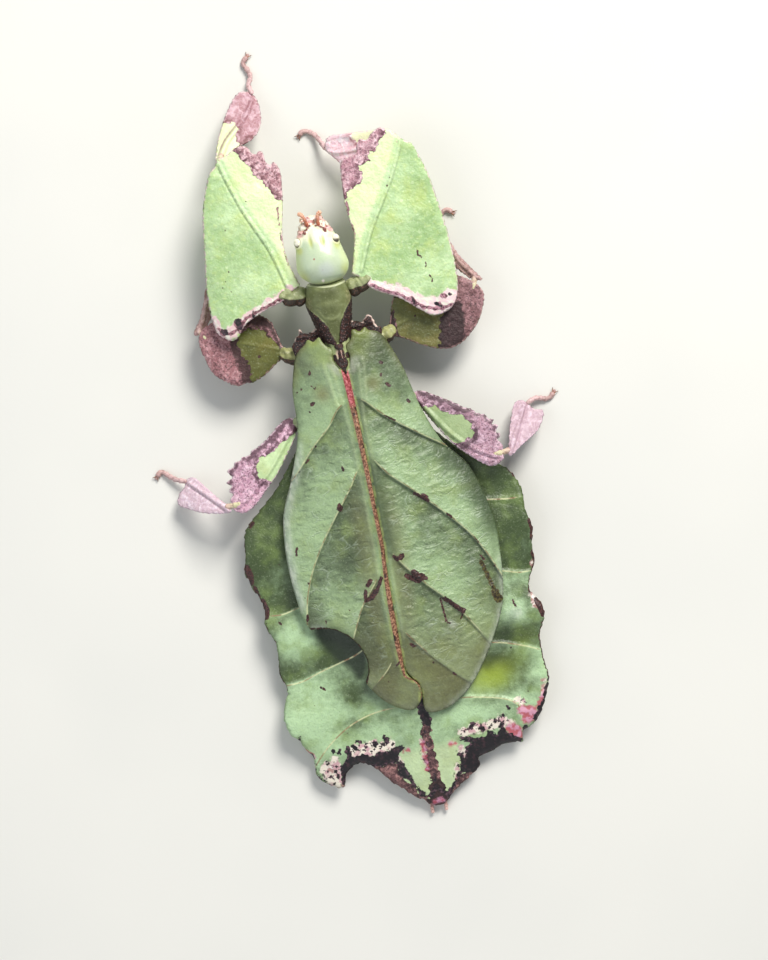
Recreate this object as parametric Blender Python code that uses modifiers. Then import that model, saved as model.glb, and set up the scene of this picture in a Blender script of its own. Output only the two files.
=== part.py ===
"""Adult female giant leaf insect, life size, resting with its head toward -Y.

Outlines are in millimetres on the plan plane PLAN_LEVEL, measured from the waist: the
point of the thorax between the wing covers. Heights are above the floor. place() turns
both into metres, with the middle of the plan box over the origin.
"""

import math

import bmesh
import bpy
import numpy as np
from mathutils import Vector
from mathutils.geometry import delaunay_2d_cdt

MM = 0.001
ROOT_NAME = "leaf_insect"

# Plan outlines are as seen from VIEW_HEIGHT above PLAN_LEVEL, straight over VIEW_POINT.
PLAN_LEVEL = 8.0
VIEW_HEIGHT = 400.0
VIEW_POINT = (-2.9, 27.7)
BOX_CENTRE = (0.57, 17.28)

PLATE = 0.55  # thinnest leaf-like plate
RIB = 1.5  # thickness of a plate over its shaft
RIB_HALF_WIDTH = 0.8
RIB_TAPER = 0.5  # share of a rib's thickness lost by the shaft's end
FEMUR_DROOP = 0.006  # fall of a femur's blade, per millimetre squared from its shaft
SHAFT_SPAN = (-0.1, 1.2)  # shares of a shaft's length over which its blade keeps sloping
COVER_GAP = 0.45  # clear space between wing covers and abdomen
SOLE_Z = 0.42  # height of a foot's middle line where it rests

# Heights along the body: (y, z) stations.
CROWN = ((0, 12.3), (10, 12.5), (30, 11.4), (50, 9.6), (62, 7.8), (74, 6.0))
COVER_RIM = ((0, 10.6), (14, 9.6), (22, 8.4), (30, 7.2), (45, 6.4), (60, 5.8), (74, 5.2))
COVER_HALF = ((0, 8.5), (14, 11.3), (22, 15), (30, 19), (45, 20.5), (60, 17.5), (74, 9))
FLAP = ((14, 6.2), (30, 5.5), (45, 4.8), (60, 4.2), (75, 3.4), (85, 2.3), (90, 1.6))
KEEL = ((14, 4.8), (25, 2.8), (36, 0.9), (46, 0), (62, 0), (70, 0.3), (80, 0.8), (90, 0.7))
CORE_HALF = ((14, 6.5), (25, 8.5), (50, 9.5), (65, 8), (78, 5), (90, 1.5))
CORE_FLAT = 3.0  # half width over which the abdomen fills the space under the covers
CORE_INSET = 3.0  # from the wing covers' edge to where that filling ends
SKIN_GAP = 0.2  # least clear space between the abdomen's skin and that filling's roof
KEEL_FULLNESS = 1.2
SPINE = ((0, 16), (0, 86))
DOME = ((14, 1), (60, 1), (70, 0.75), (78, 0.3), (84, 0.12), (90, 0))
FLAP_WAVE = 0.6
FLAP_WAVE_LENGTH = 17.0
FLAP_WAVE_SPAN = (12, 24)  # |x| over which the wave grows

# Sizes of the mesh.
BLADE_PITCH = 3.4
TIBIA_PITCH = 2.6
THORAX_PITCH = 1.9
EDGE_CLEAR = 0.5  # of the pitch: clear space between an outline and the points inside it
RIB_CLEAR = 0.4  # of the pitch: clear space between a rib and the points beside it
RIB_END_CLEAR = 0.2
HEAD_MESH = (24, 16)
EYE_MESH = (14, 10)
MOUTH_MESH = (12, 8)

# Wing covers: hinge, outer margin to the tip, then the seam back to the hinge.
COVER_LEFT = (
    (1.2, 2.2), (3, 1.0), (6, 0.6), (8.4, 1.8), (10.2, 8), (11, 16), (14, 24), (16.9, 30.5),
    (18, 39), (17.6, 48), (16.7, 51.6), (12, 53), (8.3, 56.8), (7.4, 59.5), (8.4, 64),
    (6, 67.7), (3, 70), (0.6, 70.5), (-1.1, 68.6), (-1.0, 66.4), (1.1, 63.6), (1.2, 57),
    (0.5, 44), (0, 30), (-0.2, 18), (0, 8), (1.0, 5.4),
)
COVER_RIGHT = (
    (-1.2, 2.2), (-3, 1.0), (-6, 0.6), (-8.4, 1.6), (-10.9, 8), (-12.4, 15.5), (-15, 22.8),
    (-19, 28.5), (-21.3, 38), (-21.2, 45), (-19.8, 54), (-16.4, 61), (-11.2, 67.8),
    (-5.6, 72.6), (-3, 73.8), (-1.4, 73), (-1.1, 70.8), (-1.6, 69.2), (-1.5, 66.2),
    (0.5, 63.2), (0.8, 57), (0.1, 44), (-0.4, 30), (-0.6, 18), (-0.5, 8), (-1.1, 5.4),
)

# Abdomen: left margin front to tail, then the right margin back to the front.
ABDOMEN = (
    (6, 14.2), (9.5, 16.2), (13, 20.3), (17, 25), (21, 28.4), (24.4, 31.6), (25.4, 36.5),
    (26.2, 39), (25, 43), (24, 47), (24.2, 50), (23.3, 53), (23.8, 59), (23, 62), (24.8, 67.4),
    (24.2, 70.4), (22.4, 72.6), (20.8, 79.2), (17, 82), (15, 78.6), (12.5, 78), (10.5, 79),
    (7, 84), (3, 87.6), (0, 89),
    (-3, 87.6), (-8, 84.3), (-8.8, 82), (-13, 80.7), (-17.8, 80.4), (-18.4, 78), (-22, 76),
    (-24.8, 70), (-25, 62), (-26.8, 58), (-25, 53.4), (-27, 48.5), (-28, 42), (-27.6, 35),
    (-25.2, 30), (-21, 27.5), (-17, 24), (-13, 19.3), (-9.5, 15.9), (-6, 14.2),
)

# Middle segment of the thorax, with toothed shoulders beside the waist.
MESOTHORAX = (
    (2.9, -3.4), (3.5, -2.3), (5.4, -2.1), (6.6, -2.8), (7.5, -1.4), (8.2, -0.4), (8.1, 2.4),
    (7.6, 8.8), (-7.6, 8.8), (-8.1, 2.4), (-8.1, -0.2), (-7.4, -1.6), (-6.4, -2.8),
    (-5.2, -2.0), (-3.5, -2.3), (-2.9, -3.4),
)

# Each leg: coxa path (x, y, z), femur outline, femur shaft, tibia outline, tibia shaft,
# heights at the ends of the femur and the tibia, and tarsus path (x, y, z).
LEGS = {
    "fore_left": {
        "coxa": ((4.9, -9.3, 8.5), (6.9, -9.6, 8.6)),
        "femur": (
            (4.2, -11.4), (5.9, -18.5), (4.8, -25), (3.6, -32), (4.3, -34.2), (5.9, -34.6),
            (6.4, -37), (8, -36.8), (8.7, -38.1), (11, -38.2), (13, -36.6), (14.9, -36.2),
            (17.4, -33), (19.3, -28), (20.8, -20), (22, -11), (21.4, -5.6), (18.2, -3.4),
            (15.5, -6), (11.5, -7.7), (8, -8.8), (6.6, -10.1),
        ),
        "femur_shaft": ((6.9, -11.4), (8.6, -18.5), (12, -27), (14.3, -35)),
        "femur_z": (10.4, 10.8),
        "tibia": (
            (14.3, -37.3), (13.9, -39.6), (11, -45), (8, -48.3), (5.3, -47.4), (5.0, -42.7),
            (7, -39.9), (10.8, -38.6), (13.2, -37.6),
        ),
        "tibia_shaft": ((13.4, -38.2), (9.5, -43), (5.9, -46.9)),
        "tibia_z": (9.4, 2.6),
        "tarsus": (
            (5.6, -47.9, 2.3), (6.0, -49.4, 1.3), (5.3, -50.8, 0.7), (5.6, -52.3, SOLE_Z),
            (6.1, -53.6, SOLE_Z), (5.1, -54.9, SOLE_Z),
        ),
    },
    "fore_right": {
        "coxa": ((-5.0, -9.2, 8.5), (-7.1, -9.2, 8.6)),
        "femur": (
            (-4.9, -11.4), (-7.2, -17.8), (-6.8, -24), (-7.3, -30), (-8.2, -32.2),
            (-10.8, -32.8), (-12, -35.1), (-13.3, -34.6), (-14.4, -35.7), (-16.6, -36.1),
            (-19.6, -33.3), (-21, -32.6), (-23.2, -26), (-24.3, -16), (-24.2, -6), (-22, -0.8),
            (-17.5, -0.2), (-14.5, -3.5), (-10.5, -6.2), (-7.8, -8.2), (-7.2, -9.6), (-6.2, -10.6),
        ),
        "femur_shaft": ((-7.1, -11.2), (-10.4, -18), (-15.5, -25.8), (-19.2, -32)),
        "femur_z": (10.4, 10.8),
        "tibia": (
            (-18.6, -35.2), (-15.8, -36.6), (-11, -37), (-7, -36.9), (-5.5, -35.5),
            (-6.6, -33.4), (-9.5, -32.3), (-14, -32.5), (-18.6, -33.5),
        ),
        "tibia_shaft": ((-18.2, -34.4), (-12, -34.7), (-6.2, -35.2)),
        "tibia_z": (9.4, 3.6),
        "tarsus": (
            (-5.1, -35.7, 2.8), (-4.7, -37.0, 1.8), (-4.0, -38.1, 0.9), (-3.0, -38.8, SOLE_Z),
            (-1.9, -38.8, SOLE_Z), (-1.3, -39.5, SOLE_Z),
        ),
    },
    "mid_left": {
        "coxa": ((8.6, 1.2, 7.0), (9.9, 0.4, 6.9)),
        "femur": (
            (10.3, 1.0), (10.2, -0.9), (11.3, -5.5), (13.5, -7.4), (18.5, -8), (22.5, -7.6),
            (25.2, -5.2), (24.8, -1.5), (23.6, 2), (19.5, 4.7), (17.2, 4.7), (12.2, 2.4),
        ),
        "femur_shaft": ((10.9, -0.2), (17, -2.6), (24.2, -4.9)),
        "femur_z": (6.6, 6.4),
        "tibia": (
            (25.6, -6), (24.2, -8.8), (22.6, -12.2), (21.6, -14.2), (20.2, -13.6), (20.8, -10.6),
            (22.4, -8.6), (24.2, -6.5),
        ),
        "tibia_shaft": ((25, -6.2), (23.2, -9.6), (21, -13.8)),
        "tibia_z": (5.8, 2.4),
        "tarsus": (
            (20.7, -14.5, 2.0), (20.2, -15.6, 1.2), (19.6, -17.0, 0.65), (19.0, -18.4, SOLE_Z),
            (18.7, -19.6, SOLE_Z), (18.0, -20.8, SOLE_Z),
        ),
    },
    "mid_right": {
        "coxa": ((-8.6, 1.1, 7.0), (-9.8, 0.7, 6.9)),
        "femur": (
            (-10.2, 1.5), (-10.2, -0.8), (-11.6, -4.7), (-14, -6.6), (-20, -7.4), (-24.8, -6.4),
            (-28, -3.8), (-28.2, -0.8), (-26.4, 2.7), (-23, 5.6), (-20, 6.4), (-16, 5.1),
            (-12.6, 2.9),
        ),
        "femur_shaft": ((-10.9, 0.2), (-19, -1.8), (-27.2, -3.2)),
        "femur_z": (6.6, 6.4),
        "tibia": (
            (-28.5, -4.8), (-27.6, -6.8), (-26.1, -9.2), (-24.8, -11.2), (-23.6, -13.6),
            (-22.4, -13.2), (-22.8, -10.6), (-24.2, -8.2), (-26.6, -5.6),
        ),
        "tibia_shaft": ((-27.9, -5.2), (-25.4, -9), (-23.1, -13.2)),
        "tibia_z": (5.8, 2.4),
        "tarsus": (
            (-22.9, -14.0, 2.0), (-22.8, -15.4, 1.2), (-23.1, -16.9, 0.65), (-23.9, -18.4, SOLE_Z),
            (-25.0, -18.9, SOLE_Z), (-26.1, -18.1, SOLE_Z),
        ),
    },
    "hind_left": {
        "coxa": ((7.4, 11.6, 7.7), (9.8, 13.2, 7.9)),
        "femur": (
            (10.5, 13.0), (12.5, 12.6), (15.5, 14.6), (20, 17.2), (23.5, 18.6), (25, 20.2),
            (24.7, 21.5), (25.6, 22.3), (25.4, 25.2), (25.9, 26.5), (24.5, 27.9), (23, 28),
            (19, 25), (13.5, 19), (11, 15.6),
        ),
        "femur_shaft": ((11.4, 14.4), (17, 21), (24.6, 26.8)),
        "femur_z": (8.0, 8.8),
        "tibia": (
            (26.7, 26.2), (28.5, 23.7), (31.3, 19.8), (32.6, 19.6), (33.6, 21), (35, 22.4),
            (35.5, 23.5), (33.8, 25), (31.5, 26.3), (26.8, 27.4),
        ),
        "tibia_shaft": ((27.2, 26.8), (32.8, 20.5)),
        "tibia_z": (8.4, 2.3),
        "tarsus": (
            (33.6, 19.9, 2.0), (34.7, 19.4, 1.2), (35.9, 18.5, 0.65), (36.8, 17.6, SOLE_Z),
            (37.6, 17.4, SOLE_Z), (38.4, 18.3, SOLE_Z),
        ),
    },
    "hind_right": {
        "coxa": ((-7.4, 11.6, 7.7), (-10.6, 13.4, 7.9)),
        "femur": (
            (-11.4, 13.2), (-13.2, 12.8), (-16.5, 14.8), (-20.5, 18), (-24, 20.3), (-25, 21.3),
            (-24.8, 22.2), (-25.8, 22.8), (-25.5, 26), (-26, 27.3), (-24.9, 29), (-22.5, 29.3),
            (-18, 25.2), (-13.5, 18), (-12, 15.3),
        ),
        "femur_shaft": ((-12.2, 14.6), (-17, 22), (-24.4, 28)),
        "femur_z": (8.0, 8.8),
        "tibia": (
            (-26.6, 27.4), (-28, 22.5), (-29.2, 19.8), (-30.6, 18.7), (-32, 19.4), (-33, 20.9),
            (-34.5, 21.4), (-33, 24.5), (-31, 25.9), (-27, 28.2),
        ),
        "tibia_shaft": ((-27.1, 27.4), (-31.4, 19.8)),
        "tibia_z": (8.4, 2.3),
        "tarsus": (
            (-32.3, 19.0, 2.0), (-33.5, 18.9, 1.2), (-34.7, 19.1, 0.65), (-35.7, 19.4, SOLE_Z),
            (-36.6, 19.2, SOLE_Z), (-37.4, 18.4, SOLE_Z),
        ),
    },
}
COXA_RADII = (0.95, 0.76)  # at the body, at the femur
TARSUS_RADII = (0.40, 0.46, 0.42, 0.50, 0.46, 0.46)
TARSUS_SIDES = 8
COXA_SIDES = 10

# Head: (y, half width), (y, half height) and (y, mid height) stations of an egg.
HEAD_ENDS = (-10.7, -23.2)
HEAD_HALF_WIDTH = ((-23.2, 3.7), (-21.5, 3.8), (-19.5, 4.1), (-17, 4.6), (-13.5, 5.7), (-10.7, 6.8))
HEAD_HALF_HEIGHT = ((-23.2, 2.7), (-21, 3.0), (-17, 3.5), (-13.5, 4.1), (-10.7, 4.5))
HEAD_MID = ((-23.2, 10.8), (-20, 11.4), (-16, 11.9), (-10.7, 11.6))
HEAD_SHIFT = -0.2
MOUTH_ENDS = (-18.6, -23.3)
MOUTH_HALF = (1.9, 0.75)
MOUTH_Z = 7.95
EYES = {"eye_left": (3.5, -18.6, 12.9), "eye_right": (-3.8, -18.3, 12.9)}
EYE_HALF = (0.75, 0.9, 0.8)
EYE_SOCKET_GROWTH = 1.16
ANTENNAE = {
    "antenna_left": ((1.1, -21.9, 13.3), (1.5, -23.1, 13.6), (2.2, -24.3, 13.7)),
    "antenna_right": ((-1.2, -21.5, 13.5), (-1.5, -22.7, 13.8), (-2.1, -23.7, 13.9)),
}
ANTENNA_RADII = (0.36, 0.44, 0.30)
CERCI = {
    "cercus_left": ((1.3, 89.0, 0.9), (1.5, 90.1, 0.7)),
    "cercus_right": ((-1.2, 89.0, 0.9), (-1.1, 90.1, 0.7)),
}
CERCUS_RADII = (0.36, 0.28)

# Thorax rings: (y, half width, lower z, upper z).
PROTHORAX = (
    (-10.3, 3.6, 8.2, 13.0), (-9.6, 4.4, 7.3, 13.6), (-7.4, 4.3, 7.0, 13.5),
    (-5.2, 3.5, 7.0, 13.3), (-3.8, 2.8, 7.2, 13.0),
)
METATHORAX = ((9.1, 6.4, 5.2, 10.6), (11.2, 6.8, 4.9, 10.8), (13.8, 6.2, 4.9, 10.6))
RING_SIDES = 20
SHOULDER_Z = 9.6
THORAX_BELLY = 6.4
THORAX_RIDGE_HALF = 3.4
THORAX_RIDGE_FLAT = 1.2
COVERS_BEGIN = (-0.4, 0.6)  # y over which the thorax dips under the wing covers
SHOULDER_RISE = 2.2
SHOULDER_SPAN = (3, 8)  # |x| over which the lower face rises to the shoulders
SCUTELLUM = ((0, -3.0), (0, 5.0))
SCUTELLUM_HALF = 0.1
SCUTELLUM_Z = 12.9

GREEN = (0.38, 0.52, 0.27)
PALE_GREEN = (0.50, 0.62, 0.34)
OLIVE = (0.25, 0.29, 0.16)
PINK = (0.56, 0.30, 0.32)
BROWN = (0.08, 0.03, 0.03)
ORANGE = (0.55, 0.20, 0.10)
EYE_GREY = (0.45, 0.45, 0.38)
SKIN_ROUGHNESS = 0.5
HEAD_ROUGHNESS = 0.35
EYE_ROUGHNESS = 0.15


def place(points):
    """Millimetre points (x, y, z) as metre points over the origin."""
    points = np.asarray(points, float)
    shrink = 1 - (points[:, 2] - PLAN_LEVEL) / VIEW_HEIGHT
    x = VIEW_POINT[0] + (points[:, 0] - VIEW_POINT[0]) * shrink - BOX_CENTRE[0]
    y = VIEW_POINT[1] + (points[:, 1] - VIEW_POINT[1]) * shrink - BOX_CENTRE[1]
    return np.column_stack((x, y, points[:, 2])) * MM


def through(stations, at):
    """A smooth value at each place, through (place, value) stations in rising order."""
    knots, values = np.array(stations, float).T
    slopes = np.gradient(values, knots)
    at = np.clip(at, knots[0], knots[-1])
    i = np.clip(np.searchsorted(knots, at, side="right") - 1, 0, len(knots) - 2)
    width = knots[i + 1] - knots[i]
    t = (at - knots[i]) / width
    start = (1 + 2 * t) * (1 - t) ** 2 * values[i] + t * (1 - t) ** 2 * width * slopes[i]
    end = t * t * (3 - 2 * t) * values[i + 1] - t * t * (1 - t) * width * slopes[i + 1]
    return start + end


def ease(low, high, value):
    """0 below low, 1 above high, smooth between."""
    t = np.clip((value - low) / (high - low), 0, 1)
    return t * t * (3 - 2 * t)


def nearest(path, x, y):
    """Distance to a plan path, and the share of its length at the nearest point."""
    path = np.array(path, float)[:, :2]
    lengths = np.linalg.norm(np.diff(path, axis=0), axis=1)
    starts = np.concatenate(([0], np.cumsum(lengths)))
    best = np.full(np.shape(x), np.inf)
    share = np.zeros(np.shape(x))
    for i, length in enumerate(lengths):
        a, d = path[i], (path[i + 1] - path[i]) / length
        t = np.clip((x - a[0]) * d[0] + (y - a[1]) * d[1], 0, length)
        gap = np.hypot(x - a[0] - t * d[0], y - a[1] - t * d[1])
        share = np.where(gap < best, (starts[i] + t) / starts[-1], share)
        best = np.minimum(gap, best)
    return best, share


def inside(loop, x, y):
    """Whether points lie inside a closed plan outline."""
    odd = np.zeros(np.shape(x), bool)
    for a, b in zip(loop, np.roll(loop, -1, axis=0)):
        if a[1] != b[1]:
            crosses = (a[1] > y) != (b[1] > y)
            odd ^= crosses & (x < a[0] + (y - a[1]) * (b[0] - a[0]) / (b[1] - a[1]))
    return odd


def split_edges(loop, longest):
    """An outline with its long edges divided."""
    points = []
    for a, b in zip(loop, np.roll(loop, -1, axis=0)):
        count = max(1, math.ceil(np.linalg.norm(b - a) / longest))
        points.extend(a + (b - a) * k / count for k in range(count))
    return np.array(points)


def rib_lines(shaft, pitch):
    """Points along a shaft and on both of its sides."""
    shaft = np.array(shaft, float)
    _, share = nearest(shaft, shaft[:, 0], shaft[:, 1])
    count = max(3, round(np.linalg.norm(shaft[-1] - shaft[0]) / pitch))
    at = np.linspace(0, 1, count)
    middle = np.column_stack([np.interp(at, share, shaft[:, k]) for k in range(2)])
    along = np.gradient(middle, axis=0)
    along /= np.linalg.norm(along, axis=1)[:, None]
    side = np.column_stack((-along[:, 1], along[:, 0])) * RIB_HALF_WIDTH
    return np.concatenate((middle, middle + side, middle - side))


def triangulate(outline, pitch, shaft=None):
    """Plan points and triangles that fill an outline, with the outline's points first."""
    loop = split_edges(np.array(outline, float), pitch)
    low, high = loop.min(axis=0), loop.max(axis=0)
    rows = np.arange(low[1], high[1], pitch * math.sqrt(0.75))
    columns = np.arange(low[0], high[0] + pitch, pitch)
    y = np.repeat(rows, len(columns))
    x = np.tile(columns, len(rows)) - np.repeat(np.arange(len(rows)) % 2, len(columns)) * pitch / 2
    closed = np.vstack((loop, loop[:1]))
    keep = inside(loop, x, y) & (nearest(closed, x, y)[0] > EDGE_CLEAR * pitch)
    inner = np.column_stack((x[keep], y[keep]))
    if shaft is not None:
        away = nearest(shaft, inner[:, 0], inner[:, 1])[0] > RIB_HALF_WIDTH + RIB_CLEAR * pitch
        ribs = rib_lines(shaft, pitch)
        clear = inside(loop, ribs[:, 0], ribs[:, 1])
        clear &= nearest(closed, ribs[:, 0], ribs[:, 1])[0] > RIB_END_CLEAR
        inner = np.vstack((inner[away], ribs[clear]))
    points = np.vstack((loop, inner))
    flat = [Vector(p) for p in points]
    result = delaunay_2d_cdt(flat, [], [list(range(len(loop)))], 1, 1e-6)
    return points, result[2], len(loop)


def add_object(name, points, faces, colour, roughness):
    """An object of its own material from millimetre points and faces."""
    mesh = bpy.data.meshes.new(name)
    mesh.from_pydata(place(points).tolist(), [], faces)
    model = bmesh.new()
    model.from_mesh(mesh)
    bmesh.ops.recalc_face_normals(model, faces=model.faces)
    model.to_mesh(mesh)
    model.free()
    material = bpy.data.materials.new(name)
    material.use_nodes = True
    shader = material.node_tree.nodes["Principled BSDF"]
    shader.inputs["Base Color"].default_value = (*colour, 1)
    shader.inputs["Roughness"].default_value = roughness
    mesh.materials.append(material)
    thing = bpy.data.objects.new(name, mesh)
    bpy.data.collections[ROOT_NAME].objects.link(thing)
    return thing


def leaf(name, outline, height, colour, pitch, shaft=None):
    """A plate over an outline, thicker along its shaft: an open sheet with Solidify."""
    points, faces, _ = triangulate(outline, pitch, shaft)
    x, y = points.T
    thing = add_object(name, np.column_stack((x, y, height(x, y))), faces, colour, SKIN_ROUGHNESS)
    solid = thing.modifiers.new("thickness", "SOLIDIFY")
    solid.offset = 0
    solid.thickness = PLATE * MM
    if shaft is not None:
        distance, share = nearest(shaft, x, y)
        group = thing.vertex_groups.new(name="rib")
        weights = (1 - ease(0, RIB_HALF_WIDTH, distance)) * (1 - RIB_TAPER * share)
        for index, weight in enumerate(weights):
            group.add([index], float(weight), "REPLACE")
        solid.thickness = RIB * MM
        solid.vertex_group = group.name
        solid.thickness_vertex_group = PLATE / RIB
    return thing


def cushion(name, outline, upper, lower, colour, pitch, shaft=None):
    """A solid between two unlike sheets over one outline."""
    points, faces, rim = triangulate(outline, pitch, shaft)
    x, y = points.T
    count = len(points)
    top = np.column_stack((x, y, upper(x, y)))
    bottom = np.column_stack((x, y, lower(x, y)))
    walls = [(k, (k + 1) % rim, (k + 1) % rim + count, k + count) for k in range(rim)]
    under = [tuple(v + count for v in reversed(face)) for face in faces]
    return add_object(name, np.vstack((top, bottom)), list(faces) + under + walls, colour, SKIN_ROUGHNESS)


def ring_faces(rings, sides):
    """Faces of a closed tube of rings, with a flat cap on each end."""
    faces = []
    for r in range(rings - 1):
        for s in range(sides):
            t = (s + 1) % sides
            faces.append((r * sides + s, r * sides + t, (r + 1) * sides + t, (r + 1) * sides + s))
    faces.append(tuple(reversed(range(sides))))
    faces.append(tuple(range((rings - 1) * sides, rings * sides)))
    return faces


def loft(name, rings, colour):
    """A body of oval rings across Y."""
    turns = np.linspace(0, 2 * math.pi, RING_SIDES, endpoint=False)
    points = []
    for y, half, low, high in rings:
        x = half * np.cos(turns)
        z = (low + high) / 2 + (high - low) / 2 * np.sin(turns)
        points.append(np.column_stack((x, np.full(RING_SIDES, y), z)))
    return add_object(name, np.vstack(points), ring_faces(len(rings), RING_SIDES), colour, SKIN_ROUGHNESS)


def tube(name, path, radii, sides, colour):
    """A tube of changing radius whose lower side is flat, and no lower than the floor."""
    path = np.array(path, float)
    along = np.gradient(path, axis=0)
    along /= np.linalg.norm(along, axis=1)[:, None]
    across = np.cross(along, (0, 0, 1))
    across /= np.linalg.norm(across, axis=1)[:, None]
    up = np.cross(across, along)
    turns = (np.arange(sides) + 0.5) * 2 * math.pi / sides
    points = []
    for centre, side, rise, radius in zip(path, across, up, radii):
        ring = centre + radius * (np.outer(np.cos(turns), side) + np.outer(np.sin(turns), rise))
        ring[:, 2] = np.maximum(ring[:, 2], 0)
        points.append(ring)
    return add_object(name, np.vstack(points), ring_faces(len(path), sides), colour, SKIN_ROUGHNESS)


def ball(name, mesh_size, shape, colour, roughness):
    """A UV sphere with its poles along Y, reshaped by a function of its unit points."""
    model = bmesh.new()
    bmesh.ops.create_uvsphere(model, u_segments=mesh_size[0], v_segments=mesh_size[1], radius=1)
    unit = np.array([v.co for v in model.verts])[:, (0, 2, 1)]
    faces = [tuple(v.index for v in face.verts) for face in model.faces]
    model.free()
    return add_object(name, shape(unit), faces, colour, roughness)


def ellipsoid(centre, half):
    """A shape function for ball(): an ellipsoid."""
    return lambda unit: np.array(centre) + unit * np.array(half)


def egg(ends, half_width, half_height, mid, shift):
    """A shape function for ball(): an egg along Y between two ends."""

    def shape(unit):
        y = (ends[0] + ends[1]) / 2 + abs(ends[0] - ends[1]) / 2 * unit[:, 1]
        x = shift + unit[:, 0] * through(half_width, y)
        z = through(mid, y) + unit[:, 2] * through(half_height, y)
        return np.column_stack((x, y, z))

    return shape


def roof(x, y):
    """Height of the wing covers' upper face."""
    rim = through(COVER_RIM, y)
    reach = np.clip(np.abs(x) / through(COVER_HALF, y), 0, 1)
    return rim + (through(CROWN, y) - rim) * (1 - reach**1.5)


def flap_level(x, y):
    """Height of the abdomen's leaf-like flaps, waved toward their edges."""
    edge = ease(*FLAP_WAVE_SPAN, np.abs(x))
    side = np.sign(x)
    wave = np.sin(2 * math.pi * y / FLAP_WAVE_LENGTH + side)
    return through(FLAP, y) + FLAP_WAVE * edge * wave


def abdomen_top(x, y):
    """Upper face of the abdomen: a dome under the wing covers, thin flaps beyond."""
    flap = flap_level(x, y) + PLATE / 2
    half = through(COVER_HALF, y)
    under = roof(x, y) - PLATE / 2 - COVER_GAP
    share = through(DOME, y) * (1 - ease(CORE_FLAT, half - CORE_INSET, np.abs(x)))
    return np.minimum(flap + (under - flap) * share, under - SKIN_GAP)


def abdomen_bottom(x, y):
    """Lower face of the abdomen: a keel that is flat where it rests."""
    flap = flap_level(x, y) - PLATE / 2
    bulge = np.cos(np.clip(np.abs(x) / through(CORE_HALF, y), 0, 1) * math.pi / 2) ** 2
    keel = np.maximum(through(KEEL, y), 0)
    return flap - (flap - keel) * np.clip(KEEL_FULLNESS * bulge, 0, 1)


def thorax_top(x, y):
    """Upper face of the middle thorax: shoulders, a ridge, and the scutellum's wedge."""
    under = roof(x, y) - PLATE / 2 - COVER_GAP
    fall = ease(THORAX_RIDGE_FLAT, THORAX_RIDGE_HALF, np.abs(x))
    ridge = SHOULDER_Z + (SCUTELLUM_Z - SHOULDER_Z) * (1 - fall)
    covered = ease(*COVERS_BEGIN, y)
    top = ridge * (1 - covered) + np.minimum(under, ridge) * covered
    return np.where(nearest(SCUTELLUM, x, y)[0] < SCUTELLUM_HALF, SCUTELLUM_Z, top)


def thorax_bottom(x, y):
    """Lower face of the middle thorax, rising under the shoulders."""
    return THORAX_BELLY + SHOULDER_RISE * ease(*SHOULDER_SPAN, np.abs(x))


def sloping(shaft, ends, droop=0.0):
    """A height that runs evenly along a shaft and droops away from it."""

    def height(x, y):
        distance, _ = nearest(shaft, x, y)
        a, b = np.array(shaft[0]), np.array(shaft[-1])
        share = ((x - a[0]) * (b - a)[0] + (y - a[1]) * (b - a)[1]) / np.dot(b - a, b - a)
        return ends[0] + (ends[1] - ends[0]) * np.clip(share, *SHAFT_SPAN) - droop * distance**2

    return height


def make_head():
    """Head with eyes set in sockets, antennae, and mouthparts below its front."""
    shape = egg(HEAD_ENDS, HEAD_HALF_WIDTH, HEAD_HALF_HEIGHT, HEAD_MID, HEAD_SHIFT)
    head = ball("head", HEAD_MESH, shape, PALE_GREEN, HEAD_ROUGHNESS)
    for name, centre in EYES.items():
        ball(name, EYE_MESH, ellipsoid(centre, EYE_HALF), EYE_GREY, EYE_ROUGHNESS)
        grown = [half * EYE_SOCKET_GROWTH for half in EYE_HALF]
        cutter = ball(f"{name}_socket", EYE_MESH, ellipsoid(centre, grown), EYE_GREY, SKIN_ROUGHNESS)
        bpy.data.collections[ROOT_NAME].objects.unlink(cutter)
        bpy.data.collections["cutters"].objects.link(cutter)
        cutter.hide_render = True
        cutter.display_type = "WIRE"
        cut = head.modifiers.new(f"{name}_socket", "BOOLEAN")
        cut.operation = "DIFFERENCE"
        cut.object = cutter
    for name, path in ANTENNAE.items():
        tube(name, path, ANTENNA_RADII, TARSUS_SIDES, ORANGE)
    middle = (0.0, sum(MOUTH_ENDS) / 2, MOUTH_Z)
    half = (MOUTH_HALF[0], (MOUTH_ENDS[0] - MOUTH_ENDS[1]) / 2, MOUTH_HALF[1])
    ball("mouthparts", MOUTH_MESH, ellipsoid(middle, half), PALE_GREEN, SKIN_ROUGHNESS)


def make_thorax():
    """The thorax's three segments, front to back."""
    loft("prothorax", PROTHORAX, OLIVE)
    cushion("mesothorax", MESOTHORAX, thorax_top, thorax_bottom, BROWN, THORAX_PITCH, SCUTELLUM)
    loft("metathorax", METATHORAX, OLIVE)


def make_covers():
    """The two wing covers, left over right along the back."""
    leaf("tegmen_left", COVER_LEFT, roof, GREEN, BLADE_PITCH)
    leaf("tegmen_right", COVER_RIGHT, roof, GREEN, BLADE_PITCH)


def make_abdomen():
    """Abdomen, with two short cerci at its tip."""
    cushion("abdomen", ABDOMEN, abdomen_top, abdomen_bottom, GREEN, BLADE_PITCH, SPINE)
    for name, path in CERCI.items():
        tube(name, path, CERCUS_RADII, TARSUS_SIDES, PINK)


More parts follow.
